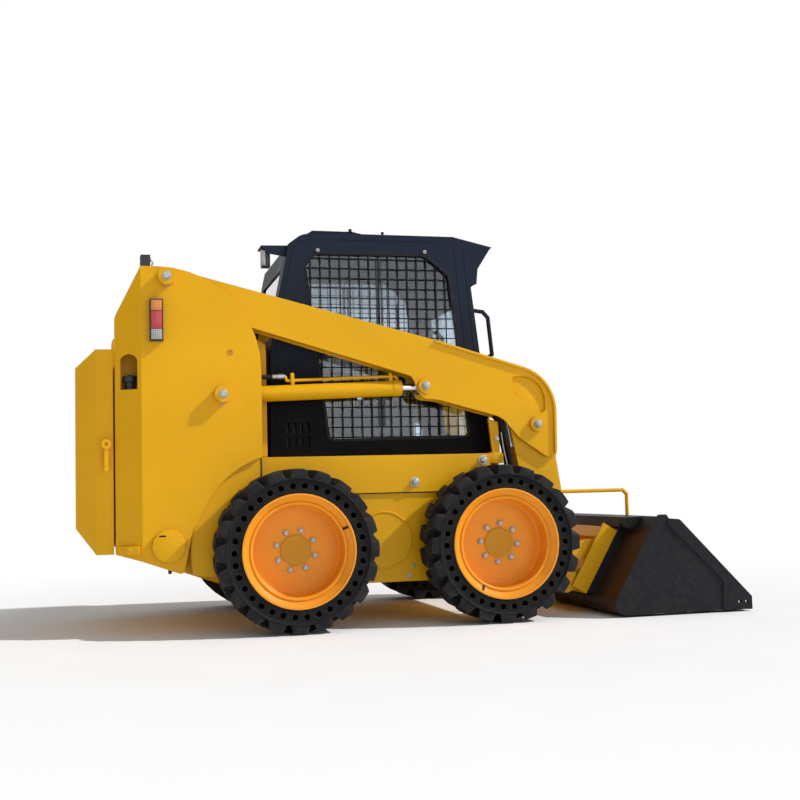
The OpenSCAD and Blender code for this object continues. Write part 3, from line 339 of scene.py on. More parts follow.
def lathe(profile, n=40, closed=False):
    """A profile of (radius, z) turned round z; closed joins its ends."""
    pts, faces, rings = [], [], []
    for r, z in profile:
        if r < 1e-6:
            rings.append([len(pts)])
            pts.append((0, 0, z))
        else:
            rings.append(list(range(len(pts), len(pts) + n)))
            pts += [(r * math.cos(math.tau * i / n), r * math.sin(math.tau * i / n), z) for i in range(n)]
    for a, b in list(zip(rings, rings[1:])) + ([(rings[-1], rings[0])] if closed else []):
        for i in range(n):
            j = (i + 1) % n
            q = list(dict.fromkeys([a[i % len(a)], a[j % len(a)], b[j % len(b)], b[i % len(b)]]))
            if len(q) > 2:
                faces.append(q)
    return pts, faces


def circle(r, z, radius, n):
    """Closed profile of a round bar, for lathe."""
    return [(r + radius * math.cos(a), z + radius * math.sin(a))
            for a in np.linspace(0, math.tau, n + 1)[:-1]]


def from_bmesh(bm):
    """A shape from a mesh in work, which is freed."""
    bm.verts.index_update()
    out = [tuple(v.co) for v in bm.verts], [[v.index for v in f.verts] for f in bm.faces]
    bm.free()
    return out


def block(lo, hi, round_by=2.0, segments=2):
    """A box between two corners with rounded edges."""
    bm = bmesh.new()
    bmesh.ops.create_cube(bm, size=1)
    for v in bm.verts:
        v.co = Vector([l + (h - l) * (c + 0.5) for l, h, c in zip(lo, hi, v.co)])
    bmesh.ops.bevel(bm, geom=bm.edges[:], offset=round_by, segments=segments, affect="EDGES", profile=0.5)
    return from_bmesh(bm)


def plate(outline, z0, z1, round_by=1.5):
    """A flat outline given thickness, with rounded rims."""
    bm = bmesh.new()
    face = bm.faces.new([bm.verts.new((x, y, z0)) for x, y in outline])
    up = bmesh.ops.extrude_face_region(bm, geom=[face])
    for g in up["geom"]:
        if isinstance(g, bmesh.types.BMVert):
            g.co.z = z1
    rims = [e for e in bm.edges if abs(e.verts[0].co.z - e.verts[1].co.z) < 1e-6]
    bmesh.ops.bevel(bm, geom=rims, offset=round_by, segments=2, affect="EDGES", profile=0.5)
    return from_bmesh(bm)


def ring_plate(outer, inner, z0, z1):
    """A closed band between two outlines that have the same number of points."""
    n = len(outer)
    pts = [(*p, z) for z in (z0, z1) for line in (outer, inner) for p in line]
    o0, i0, o1, i1 = (range(k * n, k * n + n) for k in range(4))
    faces = []
    for k in range(n):
        j = (k + 1) % n
        for a, b in ((o0, i0), (i0, i1), (i1, o1), (o1, o0)):
            faces.append([a[k], a[j], b[j], b[k]])
    return pts, faces


def rounded(corners, steps=7):
    """Outline with each corner (x, y, radius) replaced by an arc."""
    out = []
    n = len(corners)
    for i, (x, y, r) in enumerate(corners):
        b = Vector((x, y))
        if r <= 0:
            out.append((x, y))
            continue
        u = (Vector(corners[i - 1][:2]) - b).normalized()
        v = (Vector(corners[(i + 1) % n][:2]) - b).normalized()
        half = math.acos(max(-1, min(1, u.dot(v)))) / 2
        mid = b + (u + v).normalized() * (r / math.sin(half))
        s, e = b + u * (r / math.tan(half)) - mid, b + v * (r / math.tan(half)) - mid
        a0 = math.atan2(s.y, s.x)
        turn = (math.atan2(e.y, e.x) - a0 + math.pi) % math.tau - math.pi
        out += [(mid.x + r * math.cos(a0 + turn * k / steps), mid.y + r * math.sin(a0 + turn * k / steps))
                for k in range(steps + 1)]
    return out


def inset(outline, d):
    """Outline moved inwards (or outwards for d below 0), with the same number of points."""
    p = [Vector(q) for q in outline]
    n = len(p)
    area = sum(p[i].x * p[(i + 1) % n].y - p[(i + 1) % n].x * p[i].y for i in range(n))
    s = 1 if area > 0 else -1
    out = []
    for i in range(n):
        a, b = (p[i] - p[i - 1]).normalized(), (p[(i + 1) % n] - p[i]).normalized()
        na, nb = Vector((-a.y, a.x)) * s, Vector((-b.y, b.x)) * s
        m = (na + nb).normalized()
        out.append(tuple(p[i] + m * (d / max(0.4, m.dot(na)))))
    return out


def bend(points, radius, steps=8):
    """A path of straight runs with arcs of one radius at its corners."""
    p = [Vector(q) for q in points]
    out = [p[0]]
    for a, b, c in zip(p, p[1:], p[2:]):
        u, v = (a - b).normalized(), (c - b).normalized()
        half = math.acos(max(-1, min(1, u.dot(v)))) / 2
        if half > 1.5:
            out.append(b)
            continue
        cut = min(radius / math.tan(half), (a - b).length * 0.48, (c - b).length * 0.48)
        r = cut * math.tan(half)
        mid = b + (u + v).normalized() * (r / math.sin(half))
        s, e = b + u * cut - mid, b + v * cut - mid
        angle = s.angle(e)
        for k in range(steps + 1):
            t = k / steps
            out.append(mid + (s * math.sin((1 - t) * angle) + e * math.sin(t * angle)) / math.sin(angle))
    return out + [p[-1]]


def sweep(path, r, n=12, closed=False):
    """A round bar along a path of points."""
    p = [Vector(q) for q in path]
    pts, faces = [], []
    count = len(p)
    normal = None
    for i in range(count):
        a = p[i - 1] if closed or i else p[i]
        b = p[(i + 1) % count] if closed or i < count - 1 else p[i]
        t = (b - a).normalized()
        if normal is None:
            normal = t.orthogonal().normalized()
        normal = (normal - t * normal.dot(t)).normalized()
        side = t.cross(normal)
        pts += [tuple(p[i] + (normal * math.cos(math.tau * k / n) + side * math.sin(math.tau * k / n)) * r)
                for k in range(n)]
    for i in range(count if closed else count - 1):
        j = (i + 1) % count
        faces += [[i * n + k, i * n + (k + 1) % n, j * n + (k + 1) % n, j * n + k] for k in range(n)]
    if not closed:
        faces += [list(range(n)), [(count - 1) * n + k for k in range(n)]]
    return pts, faces


def bolt(flats=24.0, head=15.0, washer=20.0, reflection_mask=3.5, stud=0.0):
    """Hexagon head on a washer, along z from a face at 0."""
    parts = [lathe([(0, 0), (washer, 0), (washer, reflection_mask - 0.8), (washer - 0.8, reflection_mask), (0, reflection_mask)], 32)]
    r = flats / math.sqrt(3)
    rings = [(r, reflection_mask), (r, reflection_mask + head - flats * 0.07), (r * 0.86, reflection_mask + head)]
    pts = [(q * math.cos(math.tau * k / 6), q * math.sin(math.tau * k / 6), z)
           for q, z in rings for k in range(6)]
    faces = [[a * 6 + k, a * 6 + (k + 1) % 6, a * 6 + 6 + (k + 1) % 6, a * 6 + 6 + k]
             for a in (0, 1) for k in range(6)]
    parts.append((pts, faces + [list(range(6)), [12 + k for k in range(6)]]))
    if stud:
        z = reflection_mask + head
        parts.append(lathe([(0, z - 4), (flats * 0.29, z - 4), (flats * 0.29, z + stud - 1.5),
                            (flats * 0.24, z + stud), (0, z + stud)], 20))
    return parts


def place(at, z_axis, x_axis=None):
    """Matrix that puts local z along an axis at a point in metres."""
    z = Vector(z_axis).normalized()
    x = Vector(x_axis) if x_axis else Vector((0, 0, 1)) if abs(z.z) < 0.9 else Vector((1, 0, 0))
    x = (x - z * x.dot(z)).normalized()
    m = Matrix((x, z.cross(x), z)).transposed().to_4x4()
    m.translation = at
    return m


MID = Matrix.Translation(P(0, 0, 0))


def side_plane(y):
    """Local x and y are the side view's x and z; local z runs inwards from y on the left side."""
    return MID @ Matrix.Translation((0, y / 1000, 0)) @ Matrix.Rotation(math.pi / 2, 4, "X")


def facing_out(point, y, s, x_axis=None):
    """Matrix at a side view's point with local z away from the middle plane."""
    return place(P(point[0], s * y, point[1]), (0, s, 0), x_axis)


def at_depth(run, y, back=0):
    """A side view's line as points at a distance from the middle plane."""
    return [(x - back, y, z) for x, z in run]


class Shell:
    """Collects shapes for one piece; flip puts a shape on the other side of the machine."""

    def __init__(self):
        self.pts, self.faces = [], []

    def add(self, shape, m=MID, flip=False):
        pts, faces = shape
        k = len(self.pts)
        for q in pts:
            v = m @ (Vector(q) / 1000)
            self.pts.append((v.x, -v.y if flip else v.y, v.z))
        self.faces += [[k + i for i in f] for f in faces]
        return self

    def add_all(self, shapes, m=MID, flip=False):
        for s in shapes:
            self.add(s, m, flip)
        return self

    def make(self, name, mat, body, angle=32.0):
        mesh = bpy.data.meshes.new(name)
        mesh.from_pydata(self.pts, [], self.faces)
        bm = bmesh.new()
        bm.from_mesh(mesh)
        bmesh.ops.recalc_face_normals(bm, faces=bm.faces)
        bm.to_mesh(mesh)
        bm.free()
        mesh.shade_smooth()
        mesh.set_sharp_from_angle(angle=math.radians(angle))
        mesh.materials.append(MAT[mat])
        obj = bpy.data.objects.new(name, mesh)
        bpy.context.scene.collection.objects.link(obj)
        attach(obj, body)
        return obj


# Wheels

HOLES, HOLE_R, HOLE_AT, HOLE_DEEP = 34, 14.5, 311.0, 70.0
WALL_IN, WALL_OUT, RECESS = 286.5, 335.0, 7.0     # the recessed ring that the holes are in
LUGS = 20
LUG_FOOT, LUG_TOP = 49, 34                        # half widths
LUG_FROM, LUG_TO = 1.5, 127.0                     # depths in from the tyre's face
LUG_SKEW = math.radians(16)
NUTS, NUT_RING = 8, 97.5
NUT_TURN = {"front": 0.4355, "rear": 0.242}
# Where the dark block on each rim's cone sits, as painted shade of a slot
SLOT_SHADE_TURN = {"front_right": 4.18, "rear_right": 0.43, "front_left": 2.1, "rear_left": 5.0}
SLOT_SHADE_AT, SLOT_SHADE_SLOPE = (0.2485, 0, 0.0212), math.radians(44.5)     # metres
RIM_BEAD_R, RIM_BEAD_Z, RIM_BEAD = 229, 34, 8.5
HUB_CAP = [(0, -4), (74.4, -4), (74.4, 1.2), (72.6, 2.6), (9, 2.8), (6, 1.4), (4.2, 1.2), (3.4, 0.2),
           (0, 0.2)]


def side_wall(shell_pts, shell_faces, z, inward):
    """Flat side wall with a ring of round holes; returns its inner and outer rims."""
    step = math.tau / HOLES
    rims = ([], [])
    index = {}

    def point(x, y, zz):
        key = (round(x, 3), round(y, 3), round(zz, 3))
        if key not in index:
            index[key] = len(shell_pts)
            shell_pts.append((x, y, zz))
        return index[key]

    for h in range(HOLES):
        a0 = h * step

        def polar(r, a):
            return r * math.cos(a0 + a), r * math.sin(a0 + a)

        # Sixteen points round the hole's cell, four to each of its sides
        edge = [(WALL_IN, step * (k / 4 - 0.5)) for k in range(4)]
        edge += [(WALL_IN + (WALL_OUT - WALL_IN) * k / 4, step / 2) for k in range(4)]
        edge += [(WALL_OUT, step * (0.5 - k / 4)) for k in range(4)]
        edge += [(WALL_OUT - (WALL_OUT - WALL_IN) * k / 4, -step / 2) for k in range(4)]
        outer = [point(*polar(r, a), z) for r, a in edge]
        cx, cy = polar(HOLE_AT, 0)
        hole = []
        for r, a in edge:
            x, y = polar(r, a)
            d = math.hypot(x - cx, y - cy)
            hole.append((cx + (x - cx) / d * HOLE_R, cy + (y - cy) / d * HOLE_R))
        lip = [point(cx + (x - cx) * 1.12, cy + (y - cy) * 1.12, z) for x, y in hole]
        mouth = [point(x, y, z + inward * 2) for x, y in hole]
        deep = [point(x, y, z + inward * HOLE_DEEP) for x, y in hole]
        for k in range(len(edge)):
            j = (k + 1) % len(edge)
            for a, b in ((outer, lip), (lip, mouth), (mouth, deep)):
                shell_faces.append([a[k], a[j], b[j], b[k]])
        shell_faces.append(deep)
        rims[0].extend(outer[:4])
        rims[1].extend(outer[12:8:-1])
    return rims


def tyre_shapes():
    """Carcass and lugs in the tyre's own frame: z is 0 at the outer face and grows inwards."""
    pts, faces = [], []
    n = HOLES * 4
    start = -math.pi / HOLES
    rim_out = side_wall(pts, faces, RECESS, 1)
    rim_in = side_wall(pts, faces, TYRE_W - RECESS, -1)

    def ring(r, z):
        k = len(pts)
        for i in range(n):
            a = start + math.tau * i / n
            pts.append((r * math.cos(a), r * math.sin(a), z))
        return list(range(k, k + n))

    def join(*rings):
        for a, b in zip(rings, rings[1:]):
            for i in range(n):
                j = (i + 1) % n
                faces.append([a[i], a[j], b[j], b[i]])

    base = TYRE_R - LUG_H
    crown = [(336.5, RECESS - 0.6), (342.5, -0.6), (344, -1.6), (347.5, -1.6), (349.5, 1.5), (350.5, 9),
             (base + 0.5, 20)]
    far = [(r, TYRE_W - z) for r, z in reversed(crown)]
    join(rim_out[1], *[ring(r, z) for r, z in crown + [(base - 1.5, TYRE_W / 2)] + far], rim_in[1])
    bead = [(281, RECESS - 2), (277.5, RECESS), (275.6, RECESS + 3), (275.6, 14), (262.1, 14)]
    bead_far = [(r, TYRE_W - z) for r, z in reversed(bead)]
    join(rim_out[0], *[ring(r, z) for r, z in bead + bead_far], rim_in[0])
    shapes = [(pts, faces)]
    for side in (0, 1):
        for i in range(LUGS):
            shapes.append(lug(math.tau * (i + 0.5 * side) / LUGS, side))
    return shapes


def lug(angle, side):
    """One lug of the outer (0) or inner (1) row, which are staggered."""
    bm = bmesh.new()
    cols, rows = 4, 5
    grid = {}
    for level, half, r in ((0, LUG_FOOT, TYRE_R - LUG_H - 3), (1, LUG_TOP, TYRE_R)):
        for j in range(rows):
            w = LUG_FROM + (LUG_TO - LUG_FROM) * j / (rows - 1)
            narrow = 1 - 0.16 * (j / (rows - 1)) ** 1.5
            fall = 5.0 * max(0, 1 - w / 34) ** 1.6 if level else 0
            for i in range(cols + 1):
                s = half * narrow * (2 * i / cols - 1) + (w - 20) * math.tan(LUG_SKEW)
                th = angle + s / (TYRE_R if level else TYRE_R - 20)
                z = w + (2.0 if level and j == 0 else 0.0)
                grid[level, j, i] = bm.verts.new(((r - fall) * math.cos(th), (r - fall) * math.sin(th),
                                                  TYRE_W - z if side else z))
    for level in (0, 1):
        for j in range(rows - 1):
            for i in range(cols):
                bm.faces.new([grid[level, j, i], grid[level, j, i + 1],
                              grid[level, j + 1, i + 1], grid[level, j + 1, i]])
    for j in range(rows - 1):
        for i in (0, cols):
            bm.faces.new([grid[0, j, i], grid[0, j + 1, i], grid[1, j + 1, i], grid[1, j, i]])
    for i in range(cols):
        for j in (0, rows - 1):
            bm.faces.new([grid[0, j, i], grid[0, j, i + 1], grid[1, j, i + 1], grid[1, j, i]])
    bmesh.ops.recalc_face_normals(bm, faces=bm.faces)
    top = [v for (level, _, _), v in grid.items() if level]
    sharp = [e for e in bm.edges if len(e.link_faces) == 2 and e.calc_face_angle(0) > 0.6
             and any(v in top for v in e.verts)]
    bmesh.ops.bevel(bm, geom=sharp, offset=4.0, segments=2, affect="EDGES", profile=0.6, clamp_overlap=True)
    return from_bmesh(bm)


TYRE = tyre_shapes()
OUTWARDS = Matrix.Rotation(math.pi, 4, "X")
for end, side, flip in (("front", "right", True), ("front", "left", False),
                        ("rear", "right", True), ("rear", "left", False)):
    key = f"{end}_{side}"
    body = f"wheel_{key}"
    axle = P(AXLE if end == "front" else -AXLE, TYRE_OUT, TYRE_R)
    at = Matrix.Translation(axle) @ Matrix.Rotation(math.pi / 2, 4, "X")
    wall = Shell().add(TYRE[0], at, flip).make(f"tyre_wall_{key}", "wall_rubber", body, 28)
    lugs = Shell().add_all(TYRE[1:], at, flip).make(f"tyre_lugs_{key}", "tyre_rubber", body, 28)
    for obj in (wall, lugs):
        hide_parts(f"tyre_{key}")
    bead = circle(RIM_BEAD_R, RIM_BEAD_Z, RIM_BEAD, 16)
    Shell().add(lathe(bead, 96, True), at, flip).make(f"rim_bead_{key}", "rim_orange", body)
    nuts = Shell()
    for k in range(NUTS):
        a = math.tau * (k + 0.33) / NUTS + NUT_TURN[end]
        spot = Vector((NUT_RING * math.cos(a), NUT_RING * math.sin(a), DISC)) / 1000
        nuts.add_all(bolt(24, 15, 15, 3, 5),
                     at @ Matrix.Translation(spot) @ OUTWARDS @ Matrix.Rotation(0.4 * k, 4, "Z"), flip)
    nuts.make(f"wheel_nuts_{key}", "zinc", body)
    hub = at @ Matrix.Translation((0, 0, (DISC - 5) / 1000)) @ OUTWARDS
    Shell().add(lathe(HUB_CAP, 64), hub, flip).make(f"hub_cap_{key}", "hub_yellow", body)
    # Dark block on the rim's cone, painted shade standing in for the hollow of a slot
    cone = at @ Matrix.Rotation(SLOT_SHADE_TURN[key], 4, "Z") @ Matrix.Translation(SLOT_SHADE_AT) \
        @ Matrix.Rotation(SLOT_SHADE_SLOPE, 4, "Y")
    slot_shade = Shell().add(block((-17, -5.5, -5), (17, 5.5, 4), 2), cone, flip)
    slot_shade.make(f"rim_slot_shade_{key}", "seal_rubber", body)


# Bolts, grease nipples and plugs on the frame and arms

RAIL_BOLTS, CASE_BOLTS, TOWER_PLUG = ((498, 816), (127, 710)), ((113, 288), (89, 238)), (-810, 1369)
GREASE_NIPPLE = [(0, 0), (6, 0), (6, 5), (3.5, 7), (3.5, 12), (4.5, 14), (2.5, 18), (0, 18)]
PLUG = [(0, 1.0), (6.5, 1.0), (7.5, 3.6), (13, 4.0), (15.5, 2.4), (16, -1)]
frame_bolts, small_bolts, arm_bolts, plugs = (Shell() for _ in range(4))
for side, s in SIDES:
    for p in (PIVOT, CYL):
        frame_bolts.add_all(bolt(30, 12, 22, 3), facing_out(p, TOWER_OUT + TOWER_BOSS, s))
    for p in RAIL_BOLTS:
        frame_bolts.add_all(bolt(30, 18, 25, 5, 4), facing_out(p, RAIL_OUT, s))
    for p in CASE_BOLTS:
        small_bolts.add_all(bolt(13, 8, 11, 2), facing_out(p, CASE_OUT, s))
    # Grease nipples under the pin heads
    for x, z in (PIVOT, CYL):
        small_bolts.add(lathe(GREASE_NIPPLE, 16), place(P(x, s * (TOWER_OUT + 30), z - 42), (0, 0, -1)))
    for p in (EYE, TILT):
        arm_bolts.add_all(bolt(32, 18, 22, 4, 5), facing_out(p, ARM_OUT + ARM_BOSS, s))
    plugs.add(lathe(PLUG, 32), facing_out(TOWER_PLUG, TOWER_OUT, s))
plugs.make("tower_plugs", "hub_yellow", "chassis")
frame_bolts.make("pin_and_rail_bolts", "zinc", "chassis")
small_bolts.make("cover_bolts", "zinc", "chassis")
arm_bolts.make("arm_pin_bolts", "zinc", "lift_arms")


# Weld beads round the bosses and the drive covers

DRIVE_COVER, DRIVE_COVER_R = (-40, 420), 141


def weld(shell, centre, r, y, s, bead=4.0):
    """Ring of weld round a centre on one side."""
    shell.add(lathe(circle(r, 0, bead * 0.7, 8), 64, True), facing_out(centre, y, s))


tower_welds, arm_welds = Shell(), Shell()
for side, s in SIDES:
    for p in (PIVOT, CYL):
        weld(tower_welds, p, 43, TOWER_OUT + 0.5, s)
    weld(tower_welds, DRIVE_COVER, DRIVE_COVER_R, CASE_OUT + 8, s, 8)
    for p in (EYE, TILT):
        weld(arm_welds, p, 40, ARM_OUT + 0.5, s, 3)
tower_welds.make("boss_welds", "body_yellow", "chassis")
arm_welds.make("arm_boss_welds", "body_yellow", "lift_arms")


# Scalloped cap over each rear cover, with a dark block on its face as painted shade of its tool slot, a drain
# plug below it, and a short shelf across the foot of the tower's folded rear corner

TEETH, BITES = 15, (5.5, 1.5, 0.0, 1.5)
CAP_AT, CAP_R, CAP_FACE = (-1118, 432), 80.5, 22
DRAIN = [(0, 2), (9, 2), (9, -12), (6, -17), (0, -17)]
CORNER_AT, CORNER_TURN = (-1.301, 0.586, 0.0), math.atan2(52, 122)     # metres, radians
scallop = []
for k in range(TEETH * len(BITES)):
    a = math.tau * k / (TEETH * len(BITES))
    scallop.append((CAP_R - BITES[k % len(BITES)]) * np.array((math.cos(a), math.sin(a))))
caps, cap_slot_shades, drains, ledges = (Shell() for _ in range(4))
corner = MID @ Matrix.Translation(CORNER_AT) @ Matrix.Rotation(CORNER_TURN, 4, "Z")
for side, s in SIDES:
    cover = facing_out(CAP_AT, TOWER_OUT, s, (1, 0, 0))
    caps.add(plate(scallop, 7, CAP_FACE, 3.0), cover)
    # Painted shade: a dark block on the cap's face stands for the hollow of the tool slot
    cap_slot_shades.add(block((-46, -48 * s - 4, CAP_FACE - 0.4), (-14, -48 * s + 4, CAP_FACE + 0.6), 0.4), cover)
    drains.add(lathe(DRAIN, 18), place(P(-1112, s * 588, 314), (0, 0, 1)))
    ledges.add(block((-56, -2, 392), (54, 9, 436), 3), corner, s < 0)
    ledges.add(block((-20, 8, 404), (14, 15, 430), 3), corner, s < 0)
caps.make("cover_caps", "body_yellow", "chassis")
cap_slot_shades.make("cover_cap_slot_shades", "seal_rubber", "chassis")
drains.make("drain_plugs", "trim_plastic", "chassis")
ledges.make("corner_shelves", "body_yellow", "chassis")

# Dark strips in the joints between the rail, the case and the splash plate: painted shadow of the rail's
# overhang and of the gap at its end
shadow_strips = Shell()
for side, s in SIDES:
    shadow_strips.add(block((-240, 544, 655), (500, 550, 659.7), 1.2), MID, s < 0)
    shadow_strips.add(block((-668, 558, 752), (-661, 590, 846), 1.2), MID, s < 0)
shadow_strips.make("joint_shadow_strips", "seal_rubber", "chassis")


# Lamps

amber, red, clear, work, brackets = (Shell() for _ in range(5))
for side, s in SIDES:
    for shell, z0, z1 in ((amber, 1566, 1617), (red, 1477, 1564.5), (clear, 1425, 1475.5)):
        shell.add(block((-1193, 644, z0), (-1141, 651, z1), 2.5), MID, s < 0)
    work.add(block((-1242, 555, 1794), (-1236, 605, 1838), 3), MID, s < 0)
    hook = bend([(-1186, 580, 1788), (-1178, 580, 1815), (-1194, 580, 1826)], 8)
    brackets.add(sweep(hook, 4), MID, s < 0)
    brackets.add(lathe([(0, 0), (10, 0), (10, 6), (0, 6)], 6), place(P(-1193, s * 580, 1826), (1, 0, 0)))
rear = Shell().add(block((-622, -402, 1846), (-598, -350, 1926), 5, 3))
rear.make("rear_lamp_lens", "lens_clear", "chassis")
amber.make("tail_lens_amber", "lens_amber", "chassis")
red.make("tail_lens_red", "lens_red", "chassis")
clear.make("tail_lens_clear", "lens_clear", "chassis")
work.make("work_lamp_lens", "lens_clear", "chassis")
brackets.make("work_lamp_brackets", "zinc", "chassis")


# A steel pipe with clips, fitting and hose along each lift barrel

BARREL = (Vector(EYE) - Vector(CYL)).normalized()


def on_barrel(along, off):
    """Point at a distance from the barrel's base pin and off its axis."""
    q = Vector(CYL) + BARREL * along + Vector((-BARREL.y, BARREL.x)) * off
    return q.x, LIFT_Y, q.y


def on_line(*points):
    """Several such points."""
    return [on_barrel(*q) for q in points]


for side, s in SIDES:
    pipe, clips, fitting, hose = (Shell() for _ in range(4))
    run = on_line((905, 40), (905, 62), (330, 62), (330, 84), (280, 84))
    pipe.add(sweep(bend(run, 14), 8), MID, s < 0)
    for along, tall in ((362, 62), (872, 45)):
        foot = Matrix.Translation(P(*on_barrel(along, 37)))
        foot = foot @ Matrix.Rotation(-math.atan2(BARREL.y, BARREL.x), 4, "Y")
        clips.add(block((-9, -13, 0), (9, 13, tall), 2), foot, s < 0)
    for start, end, r, n in ((288, 318, 15, 6), (262, 290, 12, 24), (318, 326, 11, 24)):
        fitting.add(lathe([(0, 0), (r, 0), (r, end - start), (0, end - start)], n),
                    place(P(*on_barrel(start, 84)), (BARREL.x, 0, BARREL.y)), s < 0)
    hose.add(sweep(bend(on_line((268, 84), (180, 84), (110, 76)), 60), 11), MID, s < 0)
    pipe.make(f"lift_pipe_{side}", "body_yellow", f"lift_tube_{side}")
    clips.make(f"lift_pipe_clips_{side}", "body_yellow", f"lift_tube_{side}")
    fitting.make(f"lift_pipe_fitting_{side}", "zinc", f"lift_tube_{side}")
    hose.make(f"lift_pipe_hose_{side}", "hose_rubber", f"lift_tube_{side}")


# Hoses, pipes and a thin cable that run down behind each leg, on the arm

HOSE_RUN = ((598, 1062), (612, 1010), (640, 890), (664, 760), (706, 560))
PIPE_RUN = ((640, 1040), (648, 985), (664, 880))
CABLE_RUN = ((602, 960), (612, 880), (634, 770))
leg_hoses, leg_pipes = Shell(), Shell()
for side, s in SIDES:
    for y, back in ((548, 0), (524, 6), (500, 12)):
        leg_hoses.add(sweep(bend(at_depth(HOSE_RUN, y, back), 80), 11), MID, s < 0)
    for y in (540, 515):
        leg_pipes.add(sweep(bend(at_depth(PIPE_RUN, y), 40), 7), MID, s < 0)
        leg_pipes.add(lathe([(0, 0), (12, 0), (12, 22), (0, 22)], 6),
                      place(P(659, y, 905), (16, 0, -105)), s < 0)
    leg_pipes.add(sweep(bend(at_depth(CABLE_RUN, 560), 60), 3.5, 8), MID, s < 0)
leg_hoses.make("leg_hoses", "hose_rubber", "lift_arms")
leg_pipes.make("leg_pipes", "zinc", "lift_arms")


# Plates behind the arms' openings, and the posts on the rails' noses that the arms come down to

OPENING_BACK = rounded([(645, 1262, 14), (653, 1147, 18), (818, 1040, 14), (856, 1068, 14), (850, 1262, 125)])
POST = [(553, 849), (599, 849), (591, 1015), (534, 1033)]
POST_LIP = [(553, 849), (563, 849), (544, 1029), (534, 1033)]
POST_BOLT, POST_BOLT_AT = [(0, 0), (13, 0), (13, 3), (9, 4), (9, 11), (7.5, 13), (0, 13)], (583, 925)
BACK_Y, POST_Y, LIP_Y = 579.8, 546, 559
backs, posts, post_bolts = (Shell() for _ in range(3))
for side, s in SIDES:
    flip = s < 0
    backs.add(plate(OPENING_BACK, 0, 6), side_plane(BACK_Y), flip)
    posts.add(plate(POST, 0, 8), side_plane(POST_Y), flip)
    posts.add(plate(POST_LIP, 0, 20), side_plane(LIP_Y), flip)
    posts.add(block((530, 516, 797), (612, 559.5, 849.5), 3), MID, flip)
    posts.add(block((540, 520, 848), (600, 558, 856), 2), MID, flip)
    post_bolts.add(lathe(POST_BOLT, 24), facing_out(POST_BOLT_AT, POST_Y, s))
backs.make("arm_opening_backs", "body_yellow", "lift_arms")
posts.make("arm_posts", "body_yellow", "chassis")
post_bolts.make("arm_post_bolts", "zinc", "chassis")


# Cab

def up(share):
    """Height at a share of the way from the rail to the eaves."""
    return RAIL_TOP + share * (EAVES - RAIL_TOP)


WINDOW = rounded([(CAB_REAR + 189, up(0.9), 20), (CAB_REAR + 246, up(0.963), 30),
                  (CAB_FRONT - 350, up(0.966), 60), (CAB_FRONT - 217, up(0.868), 40),
                  (CAB_FRONT - 178, up(0.532), 0), (CAB_FRONT - 127, up(0.081), 30),
                  (CAB_REAR + 300, up(0.072), 40), (CAB_REAR + 214, up(0.716), 0)])
EDGE_LINE = rounded([(CAB_REAR + 30, 1000, 0), (CAB_REAR + 38, up(0.522), 190), (CAB_REAR + 82, up(0.756), 0),
                     (CAB_REAR + 138, EAVES - 8, 40), (CAB_REAR + 196, EAVES + 26, 70),
                     (CAB_FRONT - 190, EAVES + 32, 0)])
PILLAR_SEAMS = (((411, 1950), (500, 905)), ((462, 1950), (548, 905)))
CATCH_Y = 384
seals, slides, beads, studs, catches, filters = (Shell() for _ in range(6))
for side, s in SIDES:
    flip = s < 0
    seals.add(ring_plate(inset(WINDOW, -1), inset(WINDOW, 11), -1.5, 12), side_plane(CAB_HALF), flip)
    # Frame bars of the sliding glass, behind the wire screen
    for x0, x1, z0, z1 in ((-22, -4, 1000, 1880), (4, 16, 1000, 1880), (304, 318, 960, 1790)):
        slides.add(block((x0, 421, z0), (x1, 426, z1), 1.5), MID, flip)
    for seam in PILLAR_SEAMS:
        beads.add(sweep(at_depth(seam, CAB_HALF), 2.2, 8), MID, flip)
    beads.add(sweep(at_depth(EDGE_LINE, CAB_HALF), 2.0, 8), MID, flip)
    for p in ((-332, 1924), (246, 1930)):
        studs.add_all(bolt(13, 7, 10, 2, 8), facing_out(p, CAB_HALF, s))
    for x, z, tall in ((31, 2015, 27), (-145, 2037, 16)):
        knob = [(0, 0), (13, 0), (13, 3), (6, 4), (6, tall - 8), (9, tall - 7), (9, tall - 2), (7, tall),
                (0, tall)]
        catches.add(lathe(knob, 20), place(P(x, s * CATCH_Y, z), (0, 0, 1)))
    # Filter mats behind the louvres
    filters.add(block((CAB_REAR + 62, 400, 886), (CAB_REAR + 216, 406, 1040), 2), MID, flip)
    for z in range(894, 1044, 15):
        filters.add(block((CAB_REAR + 66, 405, z), (CAB_REAR + 212, 409.5, z + 5), 1), MID, flip)
filters.make("louvre_filters", "trim_plastic", "chassis")
seals.make("window_seals", "seal_rubber", "chassis")
slides.make("sliding_window_frames", "frame_grey", "chassis")
beads.make("cab_seam_beads", "cab_black", "chassis")
studs.make("cab_studs", "zinc", "chassis")
catches.make("roof_catches", "seal_rubber", "chassis")


# Seat

SEAM_W, SEAM_DEEP, SIDE_SEAMS = 0.006, 0.007, (-150, 150)
CLOTH_FRAMES, CROWN = 20, 0.012


def swell(obj, cap):
    """Fills a pad with air by cloth, so that its faces crown by up to cap."""
    scene = bpy.context.scene
    rest = np.array([v.co for v in obj.data.vertices])
    cloth = obj.modifiers.new("cloth", "CLOTH")
    cloth.settings.use_pressure = True
    cloth.settings.uniform_pressure_force = 4
    cloth.settings.effector_weights.gravity = 0
    cloth.settings.quality = 5
    for f in range(CLOTH_FRAMES):
        scene.frame_set(f + 1)
    done = obj.evaluated_get(bpy.context.evaluated_depsgraph_get()).to_mesh()
    moved = np.array([v.co for v in done.vertices])
    obj.modifiers.clear()
    step = moved - rest
    far = np.linalg.norm(step, axis=1, keepdims=True)
    step *= np.minimum(1, cap / np.maximum(far, 1e-9))
    for v, c in zip(obj.data.vertices, rest + step):
        v.co = c
    scene.frame_set(1)


